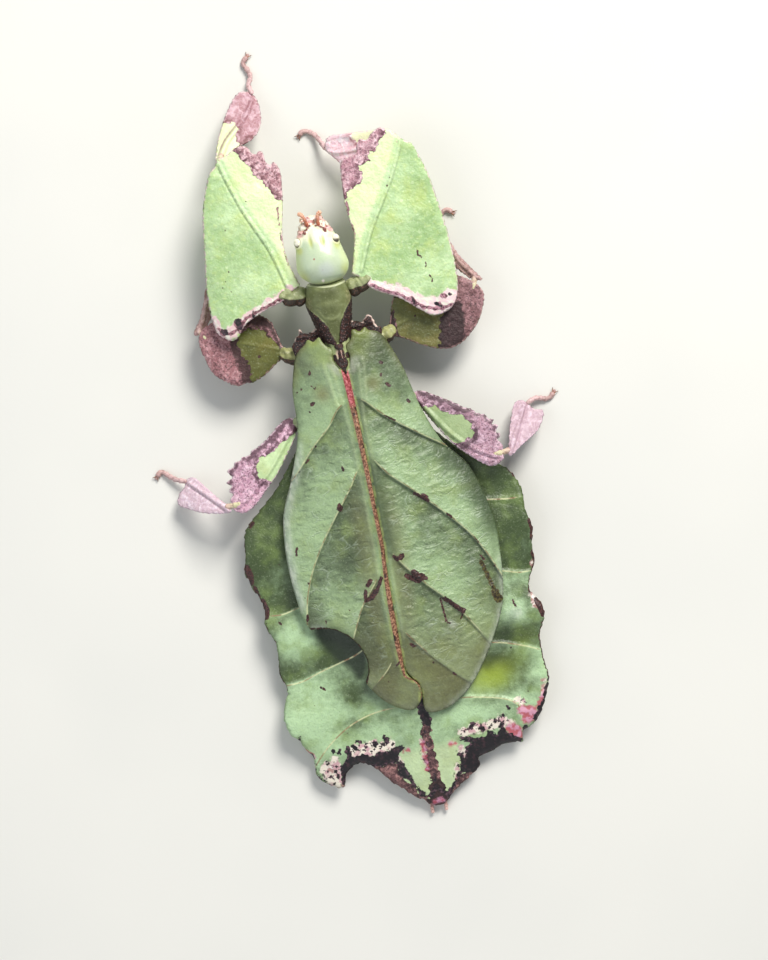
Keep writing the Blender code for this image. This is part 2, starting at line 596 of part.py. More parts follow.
def make_leg(name, leg):
    """One leg: coxa, leaf-like femur and tibia, and tarsus."""
    tube(f"coxa_{name}", leg["coxa"], COXA_RADII, COXA_SIDES, PALE_GREEN)
    femur = sloping(leg["femur_shaft"], leg["femur_z"], FEMUR_DROOP)
    leaf(f"femur_{name}", leg["femur"], femur, PALE_GREEN, BLADE_PITCH, leg["femur_shaft"])
    tibia = sloping(leg["tibia_shaft"], leg["tibia_z"])
    leaf(f"tibia_{name}", leg["tibia"], tibia, PINK, TIBIA_PITCH, leg["tibia_shaft"])
    tube(f"tarsus_{name}", leg["tarsus"], TARSUS_RADII, TARSUS_SIDES, PINK)


def build():
    """The whole model: the parts, and the tools that cut the eye sockets."""
    for thing in list(bpy.data.objects):
        bpy.data.objects.remove(thing)
    for name in (ROOT_NAME, "cutters"):
        collection = bpy.data.collections.new(name)
        bpy.context.scene.collection.children.link(collection)
    make_head()
    make_thorax()
    make_covers()
    make_abdomen()
    for name, leg in LEGS.items():
        make_leg(name, leg)


build()
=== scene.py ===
"""Giant leaf insect: the looks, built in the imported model's frame.

Outlines and markings are in millimetres on the plan plane PLAN_LEVEL, measured from the
waist, with the head toward -Y and the insect's left toward +X. Heights are above the
floor. place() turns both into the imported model's metres.
"""

import math

import bmesh
import bpy
import numpy as np
from mathutils import Matrix, Vector
from mathutils.geometry import delaunay_2d_cdt


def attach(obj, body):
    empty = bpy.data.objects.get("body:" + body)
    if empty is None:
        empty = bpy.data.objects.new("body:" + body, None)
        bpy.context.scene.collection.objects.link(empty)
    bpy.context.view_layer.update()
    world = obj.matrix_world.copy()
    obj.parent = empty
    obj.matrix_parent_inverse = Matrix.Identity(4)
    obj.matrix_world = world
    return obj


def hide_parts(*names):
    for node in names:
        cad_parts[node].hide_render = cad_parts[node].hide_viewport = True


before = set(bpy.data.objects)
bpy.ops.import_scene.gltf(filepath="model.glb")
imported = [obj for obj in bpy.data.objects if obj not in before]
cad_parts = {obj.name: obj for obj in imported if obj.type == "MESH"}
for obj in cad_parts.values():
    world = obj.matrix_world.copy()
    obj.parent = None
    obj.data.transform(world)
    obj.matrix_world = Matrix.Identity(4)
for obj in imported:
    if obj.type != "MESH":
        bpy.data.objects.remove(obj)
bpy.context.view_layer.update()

MM = 0.001

# Plan outlines are as seen from VIEW_HEIGHT above PLAN_LEVEL, straight over VIEW_POINT.
PLAN_LEVEL = 8.0
VIEW_HEIGHT = 400.0
VIEW_POINT = (-2.9, 27.7)
BOX_CENTRE = (0.57, 17.28)

# The camera looks straight down, with the head toward the top of the frame.
CAMERA_PLACE = (-0.00347, 0.01042, 0.408)
FRAME_RIGHT = (-0.9767, 0.2147, 0.0)
FRAME_UP = (-0.2147, -0.9767, 0.0)
SENSOR = 36.0
FRAME_HEIGHT = 178.56

PLATE = 0.55  # thickness of the abdomen's flaps and the wing covers
LOBE_PLATE = 0.42  # thickness of a leg's blades
RIM_THICKNESS = 0.14
RIM_TAPER = 0.7  # width over which a plate thins toward its rim
COVER_GAP = 0.45  # clear space between wing covers and abdomen
SOLE_Z = 0.42
NOWHERE = -3.0  # depth of a drawn mark at points it does not reach
LATTICE = 64  # random heights a side of the pattern that rough() repeats
CURVE_STEPS = 16  # short chords between two points of a smooth line
SCATTER_TRIES = 1400  # random places tried for the grains of one outline

# Stations (y, value) along the body: the wing covers' height in the middle and at the rim, and
# their half width; the height of the flaps and of the keel; the thick core's half width; and
# how far the abdomen rises into the space below the covers.
CROWN = ((0, 12.3), (10, 12.5), (30, 11.4), (50, 9.6), (62, 7.8), (74, 6.0))
COVER_RIM = ((0, 10.6), (14, 9.6), (22, 8.4), (30, 7.2), (45, 6.4), (60, 5.8), (74, 5.2))
COVER_HALF = ((0, 8.5), (14, 11.3), (22, 15), (30, 19), (45, 20.5), (60, 17.5), (74, 9))
FLAP = ((14, 6.2), (30, 5.5), (45, 4.8), (60, 4.2), (75, 3.4), (85, 2.3), (90, 1.6))
KEEL = ((14, 4.8), (25, 2.8), (36, 0.9), (46, 0), (62, 0), (70, 0.3), (80, 0.8), (90, 0.7))
CORE_HALF = ((14, 6.5), (25, 8.5), (50, 9.5), (65, 8), (78, 5), (90, 1.5))
CORE_FLAT = 3.0  # the abdomen's dome starts to fall this far from the middle
DOME = ((14, 1), (60, 1), (70, 0.75), (78, 0.3), (84, 0.12), (90, 0))
FLAP_WAVE = 0.6
FLAP_WAVE_LENGTH = 17.0

# Wing covers. Veins divide each into panels, front to back; cords are raised pale lines.
# Specks and stains are (radius, point, ...) strokes. The frost outlines are pale patches and
# painted highlights, such as the shiny spot on the left cover's bitten edge. Tones and dusk are
# (x, y, reach along x, reach along y, change) spots of lighter green and of painted shade.
COVERS = {
    "tegmen_left": {
        "outline": (
            (1.25, 2.6), (1.4, 1.7), (2.2, 1.1), (2.8, 0.2), (3.2, -0.8), (3.9, -0.5), (4.5, -0.2),
            (5.4, -0.8), (6.1, -0.1), (7.1, 0.6), (8.0, 1.4), (8.8, 3), (10.2, 8), (11, 16),
            (14, 24), (16.9, 30.5), (18, 39), (17.6, 48), (16.7, 51.4), (16.2, 52.1), (14.3, 52.3),
            (12, 53), (9.9, 54.6), (8.3, 56.8), (7.4, 59.5), (7.6, 62), (8.4, 64), (6, 67.7),
            (3, 70), (0.6, 70.5), (-1.1, 68.6), (-1.2, 66.4), (0.7, 63.6), (0.7, 57), (0.0, 44),
            (-0.6, 30), (-0.8, 18), (-0.5, 9), (0, 6.7), (0.7, 5.6), (1.3, 4.5), (1.5, 3.4),
        ),
        "veins": (
            ((-2, 11.5), (1.8, 12.6), (3, 13.5), (5, 16), (8, 18.5), (10, 20.5), (12.2, 22.8),
             (14, 24.4), (18, 27)),
            ((-3, 20), (0.6, 24), (1.8, 25.5), (3.5, 28), (6, 31), (10, 36), (13.3, 41),
             (15.5, 46), (16.7, 51), (18, 56)),
            ((-3, 40), (0.5, 43.5), (3, 46.5), (6, 50), (8.8, 55.3), (11, 60)),
            ((-3, 56), (1.2, 59.5), (4.5, 63), (8, 65.5), (12, 68)),
        ),
        "cords": (
            ((2.4, 5), (1.9, 8), (1.7, 11), (1.35, 17), (1.3, 24), (1.5, 34), (1.9, 46), (2.0, 57),
             (1.9, 62)),
            ((3.6, 4.2), (3.1, 8), (2.6, 12.6)),
        ),
        "specks": (
            (0.40, (6.9, 11.0), (7.2, 11.1)), (0.2, (8.5, 8)), (0.25, (6.3, 5.1), (6.4, 5.6)),
            (0.14, (5.9, 8)), (0.2, (7.8, 12.4)), (0.24, (4.2, 23.7), (4.1, 24.4)),
            (0.16, (6.0, 8.4), (6.6, 7.6)), (0.22, (9.4, 8.4)), (0.3, (6.2, 30.4), (6.6, 31.2)),
            (0.3, (5.9, 30.8), (6.1, 31.6)), (0.17, (9, 33.6)), (0.2, (10, 21), (10.6, 21.5)),
            (0.24, (8.2, 18.9)), (0.2, (15.6, 36.6), (15.9, 37.2), (16.0, 38)), (0.22, (15, 43.5)),
            (0.26, (16.4, 49.3), (16.6, 50.2)), (0.17, (16.2, 46)),
            (0.34, (1.5, 45.4), (2.1, 46.4), (2.6, 47.2), (3.5, 48.3)),
            (0.5, (3.0, 47.6), (4.0, 48.6)), (0.42, (3.6, 45.5), (4.3, 46.2)),
            (0.36, (4.9, 47.2), (5.2, 48.4)), (0.4, (4.6, 48.8), (5.2, 48.9)), (0.17, (8.6, 50)),
            (0.14, (13.3, 51.0), (13.3, 51.8)), (0.2, (1.6, 61.4), (2.2, 61.9)),
            (0.16, (4.3, 64.5)), (0.2, (12.2, 22.9)),
        ),
        "frost": (
            ((3.0, 4.5), (1.7, 4.7), (0.6, 6.2), (0.6, 7.0), (1.4, 6.9)),
            ((16.4, 52.1), (15.8, 51.3), (14.4, 51.4), (13.4, 52.2), (14.4, 52.6)),
        ),
        "dark_edge": ((16.5, 51.8), (14.3, 52.2), (12, 53), (9.9, 54.6), (8.3, 56.8),
                      (7.4, 59.5), (7.6, 62), (8.4, 64)),
        "tones": ((5, 40, 4.6, 11, -0.58), (5.8, 59, 3.8, 4.6, -0.75)),
        "dusk": ((5, 60, 4.5, 6, 0.3), (4, 39, 3, 5, 0.24)),
    },
    "tegmen_right": {
        "outline": (
            (-1.2, 2.6), (-1.3, 1.7), (-2.2, 1.0), (-2.7, 0.2), (-2.9, -0.8), (-3.6, -0.9),
            (-4.4, -0.3), (-5.5, -0.9), (-6.1, -0.2), (-7.0, 0.1), (-8.0, 0.7), (-8.9, 2.2),
            (-10.9, 8), (-12.4, 15.5), (-15, 22.8), (-19, 28.5), (-21.3, 38), (-21.2, 45),
            (-19.8, 54), (-16.2, 61.2), (-11.8, 67.2), (-8.8, 69.9), (-5.8, 71.5), (-3, 71.9),
            (-1.5, 71.5), (-1.1, 70.3), (-1.2, 69.2), (-1.0, 66.2), (0.9, 63.2), (1.1, 57),
            (0.5, 44), (0, 30), (-0.2, 18), (-0.2, 9), (0, 6.7), (-0.8, 5.6), (-1.4, 4.4),
            (-1.5, 3.4),
        ),
        "veins": (
            ((2, 10.6), (-1.8, 12.2), (-2.8, 13), (-5.5, 16), (-8.5, 18.5), (-12, 21.3),
             (-14.3, 23), (-18, 26)),
            ((2, 21), (-1.6, 23.6), (-2.6, 25), (-4, 27), (-8, 31), (-13, 36.5), (-16.5, 41),
             (-18.8, 45.5), (-20.5, 50), (-22, 55)),
            ((2.6, 38), (-0.4, 40.3), (-1.4, 41.5), (-3.5, 44.7), (-6.5, 48.5), (-10.5, 53),
             (-14, 58.5), (-17, 64)),
            ((3.4, 52), (0.6, 55.2), (-0.3, 56), (-4, 61), (-7.5, 65), (-9.5, 67), (-13, 70)),
        ),
        "cords": (
            ((-2.9, 6), (-2.3, 10), (-1.75, 16), (-1.6, 24), (-1.1, 34), (-0.6, 46), (-0.2, 57)),
            ((-3.9, 4.8), (-3.6, 8), (-2.9, 12.4)),
        ),
        "specks": (
            (0.2, (-6.6, 8.3), (-6.5, 8.6)), (0.3, (-7.2, 10.3), (-7.7, 10.8)),
            (0.3, (-10.4, 14.1), (-10.6, 14.5)), (0.3, (-6.9, 6.1), (-7.2, 6.3)),
            (0.3, (-7.9, 31.3), (-9, 32.2), (-10.1, 33.3)), (0.34, (-9.4, 31.9), (-10, 32.6)),
            (0.24, (-13, 36.4), (-13.7, 37.1)), (0.15, (-18, 35)), (0.15, (-16, 31)),
            (0.3, (-1.6, 42.0), (-2.2, 42.8)), (0.5, (-2.7, 42.5), (-3.2, 42.2)),
            (0.5, (-3.2, 46.0), (-4.8, 47.2)), (0.55, (-4.6, 45.6), (-5.2, 46.3)),
            (0.65, (-5.2, 47.2), (-5.9, 46.7)), (0.4, (-4.4, 46.8), (-6.6, 47.2)),
            (0.2, (-8.4, 51.6), (-8.6, 56)), (0.22, (-8.8, 51.5), (-12, 55)),
            (0.26, (-9.3, 51.5), (-12.1, 54.4)), (0.42, (-11.6, 54.2), (-12.2, 54.5)),
            (0.15, (-8.6, 56), (-9.3, 56.4)), (0.12, (-12, 55), (-11.3, 56)),
            (0.3, (-1.2, 58.6), (-1.6, 59)), (0.12, (-1.8, 59.0), (-2.3, 59.2)),
            (0.2, (-4.6, 62.8)), (0.22, (-7.8, 65.5), (-8.2, 65.9)), (0.14, (-14.5, 60)),
            (0.14, (-13.4, 52)), (0.2, (-17.4, 45.2), (-17.9, 46.1)), (0.2, (-19.6, 47.7)),
            (0.2, (-5.5, 16), (-7.3, 17.3)), (0.14, (-16.9, 41.6), (-17.6, 42.8)),
        ),
        "stain": (
            (0.38, (-17.3, 46.3), (-17.6, 48), (-18.1, 50), (-18.7, 52.6)),
            (0.75, (-18.6, 52.6), (-19.0, 53.8)),
        ),
        "frost": (
            ((-1.7, 4.2), (-3.2, 4.5), (-2.5, 6.3), (-1.5, 7.0), (-0.5, 6.6), (-1.2, 5.2)),
            ((-8.9, 55.8), (-9.5, 55.8), (-10.2, 56.6), (-9.7, 57.4), (-9.0, 56.9)),
        ),
        "dark_edge": ((-5.6, 73.0), (-3, 74.4)),
        "tones": (
            (-4, 53, 3, 6, -0.14), (-16, 26.5, 3.5, 3, 0.3), (-13, 59, 5, 3, 0.25),
            (-4.5, 29, 2.6, 5, 0.26), (-9.5, 49, 3, 5, 0.26),
        ),
        "dusk": ((-13.5, 19.5, 3, 4, 0.32),),
    },
}
MIDLINE = (
    (-0.1, 4.5), (-0.15, 9), (-0.2, 18), (-0.15, 24), (0.1, 40), (0.6, 45), (0.9, 50), (1.2, 58),
    (1.2, 64.1), (0.5, 64.8), (-0.3, 65.2), (-1.0, 66.2), (-1.2, 68), (-0.9, 69.2),
)
MIDLINE_HALF = (
    (0, 0.62), (10, 0.62), (14, 0.56), (26, 0.44), (40, 0.38), (62, 0.34), (64.5, 0.2), (70, 0.16),
)
VEIN_STEP = 0.62
VEIN_REACH = 9.0
VEIN_HALF = 0.13
VEIN_ASIDE = 0.17  # the pale line runs this far ahead of the vein

# Abdomen: left margin front to tail, then the right margin back to the front.
ABDOMEN = (
    (6, 14.2), (9.5, 16.2), (13, 20.3), (17, 25), (21, 28.4), (24.4, 31.6), (25.4, 36.5),
    (26.2, 39), (25.7, 40.6), (25.3, 42.2), (24.3, 44.6), (24, 47), (24.5, 49), (24.2, 50.6),
    (23.3, 53), (23.4, 56), (23.8, 59), (23, 62), (24.1, 64.6), (24.8, 67.4), (24.2, 70.4),
    (22.9, 71.6), (22.2, 73.4), (21.0, 75.2), (21.1, 78.6), (19.8, 80.4), (17.2, 82), (16.2, 81.4),
    (15.8, 79.8), (14.2, 78.5), (12.5, 78.2), (10.7, 79.2), (9.4, 80.6), (7.6, 83), (6.0, 84.4),
    (4.4, 86.2), (2.6, 87.4), (1.6, 88.4), (0, 89), (-1.6, 88.5), (-3, 87.2), (-5, 85.9),
    (-7.4, 84.5), (-9, 83.3), (-9.1, 81.8), (-11.8, 81.2), (-13.6, 80.5), (-16.2, 80.4),
    (-17.7, 80.7), (-18.1, 78.9), (-20.3, 77.9), (-22, 76.3), (-23.6, 73.6), (-25, 70),
    (-24.8, 66.6), (-25, 62), (-26.2, 59.8), (-26.8, 58), (-26.4, 55.8), (-25, 53.4), (-25.6, 51),
    (-27, 48.5), (-27.2, 45.4), (-28, 42), (-27.4, 38.6), (-27.6, 35), (-26.7, 32), (-25.2, 30),
    (-21, 27.5), (-17, 24), (-13, 19.3), (-9.5, 15.9), (-6, 14.2),
)
ABDOMEN_CORDS = (
    ((14, 47.2), (18, 47.6), (21, 48.1), (24.5, 47.7)),
    ((25, 61.4), (23.3, 61.2), (20, 61.1), (16, 60), (12, 59.1), (9, 58.3), (4, 56)),
    ((22.5, 78.6), (19, 75), (16.5, 73), (13, 71), (9, 69.8), (5.3, 69.5), (1.5, 69.8)),
    ((-20, 35.2), (-24.5, 36), (-27.3, 36.2)), ((-17, 48), (-21, 49), (-24, 49.9), (-27, 50)),
    ((-15, 61.3), (-18, 62), (-21.3, 63.2), (-23.3, 64.1), (-25.6, 65.4)),
    ((-3, 70.2), (-8, 70.3), (-13, 71.3), (-16.4, 72.4), (-18.3, 74), (-18.4, 76.6), (-18.2, 79)),
)
# Painted shade falls ahead of the front cords and behind the rear ones, painted light opposite.
REAR_CORDS = 66  # behind here it is the panel behind a cord that is dull, not the one ahead
# Marks of the abdomen. Specks, spots, rose, blush and pale ones are (radius, point, ...) strokes,
# and blotches and strips are outlines. The band is a line with (y, half width) stations.
ABDOMEN_SPECKS = (
    (0.22, (21.8, 49.4), (21.5, 49.8)), (0.26, (16.2, 63.4), (16.8, 62.9)), (0.18, (13.8, 72.3)),
    (0.15, (19.6, 39)), (0.14, (18.6, 66)), (0.2, (-21.4, 54.5), (-21.8, 56)), (0.2, (-19.3, 63.2)),
    (0.15, (-20.6, 71.8)), (0.14, (-18, 73)), (0.16, (-12.6, 72.4)), (0.15, (-22.6, 69)),
    (0.65, (25.6, 38.2), (25.2, 39.8), (25.4, 41.0)), (0.4, (24.8, 42.2), (24.6, 44)),
    (0.75, (24.2, 45), (23.8, 46.6), (24.0, 47.6)),
    (0.24, (11, 17), (16, 22.6), (20, 26.6), (24.5, 31)), (0.3, (22.6, 30.2), (23.2, 30.9)),
    (0.25, (25.2, 33.5), (25.5, 36)), (0.4, (-27.7, 40.8), (-27.9, 42.4), (-27.4, 44.2)),
    (0.4, (-27.0, 46.6), (-27.2, 48.6), (-26.4, 50)), (0.4, (-25.8, 51), (-25.0, 53.6)),
    (0.6, (-25.9, 55.6), (-26.3, 57), (-26.5, 58.4)), (0.24, (-26, 59.6), (-25.1, 62)),
    (0.34, (-26.0, 30.4), (-26.8, 32)), (0.22, (-24.9, 62), (-24.8, 67), (-25, 70)),
    (0.16, (24, 47), (24.4, 50.6), (23.3, 53)), (0.14, (23.3, 53), (23.8, 59), (23, 62)),
)
TAIL_BLOTCHES = (
    ((16.9, 80.6), (16.4, 78), (15.2, 77.4), (14.7, 74.8), (13.9, 74.6), (13.6, 76.8), (12.4, 76.7),
     (10, 77.2), (8.6, 76.9), (7, 77.2), (5, 76.4), (4.1, 77), (5.3, 78.2), (5.5, 79.3),
     (4.7, 80.6), (4.1, 82.4), (3.4, 84.4), (1.9, 86.8), (2.6, 87.2), (3.9, 84.8), (4.8, 83.3),
     (6.1, 82.2), (6.3, 79.8), (9, 79.6), (11, 79.2), (12.5, 78.6), (14.2, 78.8), (15.4, 79.8),
     (16.4, 81.6)),
    ((-5.6, 77.1), (-7, 77.5), (-9.4, 78.1), (-11, 78.3), (-12.3, 77.4), (-13.2, 78.4), (-14, 77.2),
     (-14.6, 76), (-15.2, 78.2), (-16.2, 79.2), (-17.8, 80.4), (-16, 80.8), (-13.4, 81), (-9.6, 82),
     (-9.4, 83.6), (-7.6, 84.3), (-5.4, 84.2), (-3.4, 86.4), (-2.0, 88.6), (-1.6, 87.6),
     (-3.2, 85.6), (-4.8, 83.8), (-5.5, 82.2), (-6.6, 81.2), (-7.2, 79.4), (-8.4, 78.9),
     (-6.8, 78.3)),
)
TAIL_SPOTS = (
    (0.5, (7.2, 74.7), (7.0, 75.4)), (0.42, (9.2, 75.2), (9.4, 75.7)), (0.45, (16, 75.4)),
    (0.36, (18.8, 76.9)), (0.3, (12.4, 74.1), (11.8, 74.6)), (0.3, (13.4, 74.8), (12.8, 75.4)),
    (0.3, (17.2, 74.9)), (0.3, (11, 75.4)), (0.5, (-9.4, 75.6), (-8.6, 76.3)),
    (0.42, (-10.8, 76.6), (-10.9, 77)), (0.3, (-13.4, 75.8)), (0.25, (-15.2, 75.2)),
    (0.32, (-16.2, 73.8), (-16.5, 74.1)), (0.45, (-5.8, 80.5), (-6, 81.1)), (0.5, (-18.6, 78.4)),
    (0.3, (-12, 76.9)), (0.34, (17.6, 78.8)), (0.25, (18.4, 79.6)), (0.25, (16.2, 80.4)),
    (0.95, (-0.7, 69.6), (-0.9, 71.4), (-1.1, 73.2)), (0.14, (-0.2, 75), (-0.2, 78)),
    (0.2, (-0.3, 83), (-0.2, 85.2)), (0.4, (-0.2, 85.6), (1.0, 86.8)),
    (0.4, (-0.3, 85.6), (-1.4, 86.9)), (0.5, (-21, 76.9), (-23, 74.6), (-24.8, 71.2)),
    (0.2, (-24.8, 71), (-25.2, 69)), (0.24, (21.2, 74.8), (21.1, 78.8), (19.8, 80.3)),
    (0.4, (22.8, 71.4)),
)
TAIL_ROSE = (
    (0.9, (-18.8, 75), (-20.8, 75.4)), (0.8, (-19.2, 76.8), (-21, 76.2)),
    (1.1, (-16.2, 78), (-17.2, 79)), (0.5, (-22.2, 74.6), (-23.6, 72.6)),
    (0.36, (4.2, 77.6), (3.6, 77.8)), (0.36, (-4.4, 78.4), (-5.4, 78.2)),
    (0.5, (-15.2, 79), (-15.6, 79.6)), (0.8, (22.4, 74.2), (21.6, 75)),
    (0.4, (-0.9, 88.2), (0.8, 88.2)), (0.3, (0.6, 76.5), (0.7, 82)),
)
TAIL_BAND = ((-0.8, 73.4), (-0.5, 76), (-0.35, 80), (-0.4, 84), (-0.1, 88.6))
TAIL_BAND_HALF = ((73.4, 0.95), (76, 0.8), (82, 1.1), (84, 0.9), (86.4, 1.7), (88.6, 1.5))
TAIL_STRIPS = (
    ((10.8, 79.0), (8.6, 79.4), (6.2, 79.6), (5.4, 82.6), (4.2, 84), (2.2, 86.8), (1.6, 87.2),
     (1.4, 90), (3.6, 88.6), (8, 84.6), (10.8, 80.6)),
    ((-2.2, 86.6), (-4.0, 85.2), (-6.0, 84.0), (-8.4, 83.8), (-9.4, 85.4), (-4, 89), (-1.0, 90),
     (-1.6, 87.6)),
)
TAIL_BLUSH = (
    (0.5, (-25.2, 53.8), (-25.6, 56.4)), (0.4, (-24, 70.4), (-23.4, 72.6)),
    (0.5, (15.8, 80.6), (16.6, 81.6)), (0.3, (18.6, 77.6), (18.2, 79)),
    (0.25, (-26.2, 50), (-26.6, 48.4)),
)
ABDOMEN_PALE = (
    (1.0, (13.6, 76.0), (10.4, 76.3), (6.4, 76.2)), (0.7, (12.6, 75.4), (9.6, 75.2)),
    (1.0, (17.4, 77), (17.0, 79)), (1.3, (19, 78), (18, 80.4)),
    (0.9, (-7.4, 76.6), (-11.4, 76.6), (-15, 76)), (0.6, (-13, 76.8), (-16.4, 76.8)),
    (0.8, (-6.2, 79.6), (-6.8, 80.4)), (0.5, (-5, 82.6), (-4.2, 84.6)), (0.4, (5.6, 79), (5, 80.8)),
    (0.6, (-25.4, 54), (-25.6, 56)), (0.5, (-18.4, 73), (-19.4, 73.6)), (0.3, (0.9, 77), (1, 80)),
)
# The shade that the left wing cover's bitten edge throws.
BITE_SHADE = (
    (7.4, 58), (8.2, 55.4), (10, 53), (12.4, 51.5), (15, 51.6), (15.2, 53.6), (14.2, 56),
    (12.8, 58.2), (10.6, 60.2), (9, 62.6),
)
# Share of light green along the middle: (y, share) stations. The low share in front is
# painted shade.
ABDOMEN_PANEL = (
    (14, -0.08), (44, 0.1), (50, 0.32), (58, 0.38), (64, 0.7), (68, 0.82), (71, 0.6), (74, 0.82),
    (76, 0.74), (80, 0.84), (89, 0.8),
)
# Lighter and darker spots: (x, y, reach along x, reach along y, change of tone). Among them
# are painted shade beside the wing covers' edges and painted highlights on bumps by the margins.
ABDOMEN_SPOTS = (
    (-21.5, 57, 2.8, 2.4, 0.62), (-20.4, 61.0, 4.2, 1.3, -0.45), (-18, 66.5, 5.5, 3.6, -0.85),
    (19, 30, 5, 6, -0.12), (20, 41, 5, 4.5, 0.16), (-14.6, 64.4, 2.0, 2.2, -0.3),
    (-23.2, 68.6, 1.5, 0.9, 0.4), (-18.9, 72.8, 1.4, 1.0, 0.5), (-11.5, 73.6, 4.5, 1.6, 0.4),
    (21.5, 54, 2.4, 3.0, 0.4), (21.5, 70.5, 2.8, 3.0, 0.6), (17, 74, 3.5, 1.8, 0.4),
    (11.2, 66, 3.0, 3.4, -0.6), (12.5, 70.4, 2.6, 1.2, -0.4), (-16, 73, 6, 2.5, -0.3),
    (18.3, 51.5, 2.2, 3.2, 0.6), (-24.2, 53.6, 1.6, 2.2, -0.25),
)
EDGE_SHADES = (
    ((9.6, 56), (7.9, 60), (8.4, 64.4), (5.2, 68.6)), ((-20.2, 58.4), (-17.6, 62.2), (-14.4, 65.2)),
)

# Middle segment of the thorax, with toothed shoulders beside the waist.
MESOTHORAX = (
    (2.9, -3.6), (3.3, -2.7), (3.8, -2.5), (4.4, -2.1), (5.1, -1.95), (5.9, -2.2), (6.3, -2.9),
    (6.7, -2.9), (6.8, -2.1), (7.4, -1.7), (7.9, -0.9), (8.5, -0.2), (8.4, 1.2), (8.1, 2.4),
    (7.9, 5), (7.6, 8.8), (-7.6, 8.8), (-7.9, 5), (-8.1, 2.4), (-8.4, 1.0), (-8.5, -0.2),
    (-7.7, -0.7), (-7.4, -1.9), (-6.9, -2.9), (-6.2, -2.9), (-5.6, -2.2), (-5.0, -2.0),
    (-4.2, -2.3), (-3.4, -2.6), (-2.9, -3.6),
)
# Pronotum: the left side from front to back, which the right one mirrors, and the same for the
# raised edge of its middle plate.
PRONOTUM_SIDE = (
    (1.8, -10.8), (3.0, -11.0), (3.7, -10.3), (4.1, -9.2), (4.35, -8.0), (4.4, -7.0), (4.2, -5.8),
    (3.9, -4.6), (3.6, -3.0), (3.2, -1.4), (2.8, 0), (2.4, 0.7), (1.7, 1.2), (0.9, 1.5),
)
PRONOTUM_ENDS = ((0, -10.6), (0, 1.7))
PLATE_RIM_SIDE = ((2.4, -5.6), (2.0, -4.6), (1.3, -3.8))
PLATE_RIM_END = (0, -3.4)
# The granular strip along the pronotum's left side.
STRIP_LEFT = (
    (4.7, -7.4), (4.8, -6.6), (4.5, -5.8), (4.2, -4.4), (3.9, -3.0), (3.5, -1.4), (3, 0.2),
    (2.4, 1.2), (1.4, 1.8), (0.3, 1.9), (0.25, 0.8), (0.45, 0.1), (0.85, -1.0), (1.2, -2.3),
    (1.95, -3.6), (2.7, -4.8), (3.4, -5.6), (4.0, -6.4),
)
# Dark granular parts of the middle segment: outlines, and (radius, point, ...) strokes.
SHOULDER_STRIPS = (
    ((2.2, -4), (4, -4), (6.8, -3.6), (9, -0.8), (9, 2), (8, 1.6), (7, 1.4), (4, 0.8), (2.4, 0.9)),
    ((-2.2, -4), (-4, -4), (-6.8, -3.6), (-9, -0.8), (-9, 1.2), (-8, 1), (-7, 0.9), (-4, 0.6),
     (-2.4, 0.9)),
)
SCUTELLUM_DARK = (
    ((0.65, 1.2), (-0.75, 1.2), (-0.8, 2.2), (-0.1, 2.45), (0.6, 2.1)),
    ((1.15, 4.2), (0.5, 4.0), (0.28, 2.3), (-0.15, 2.3), (-0.2, 4.0), (-0.3, 4.0), (-0.4, 2.4),
     (-0.75, 2.5), (-0.8, 4.0), (-1.15, 4.3), (-0.95, 5.3), (-0.5, 6.1), (-0.3, 7.0), (0.1, 6.2),
     (0.8, 5.3)),
)
SCUTELLUM_SPOTS = (
    (0.36, (1.05, 3.3), (1.05, 3.9)), (0.34, (-1.25, 3.3), (-1.35, 3.8)),
    (0.2, (0.1, 2.3), (0.05, 4.2)), (0.2, (-0.55, 2.4), (-0.6, 4.2)),
)
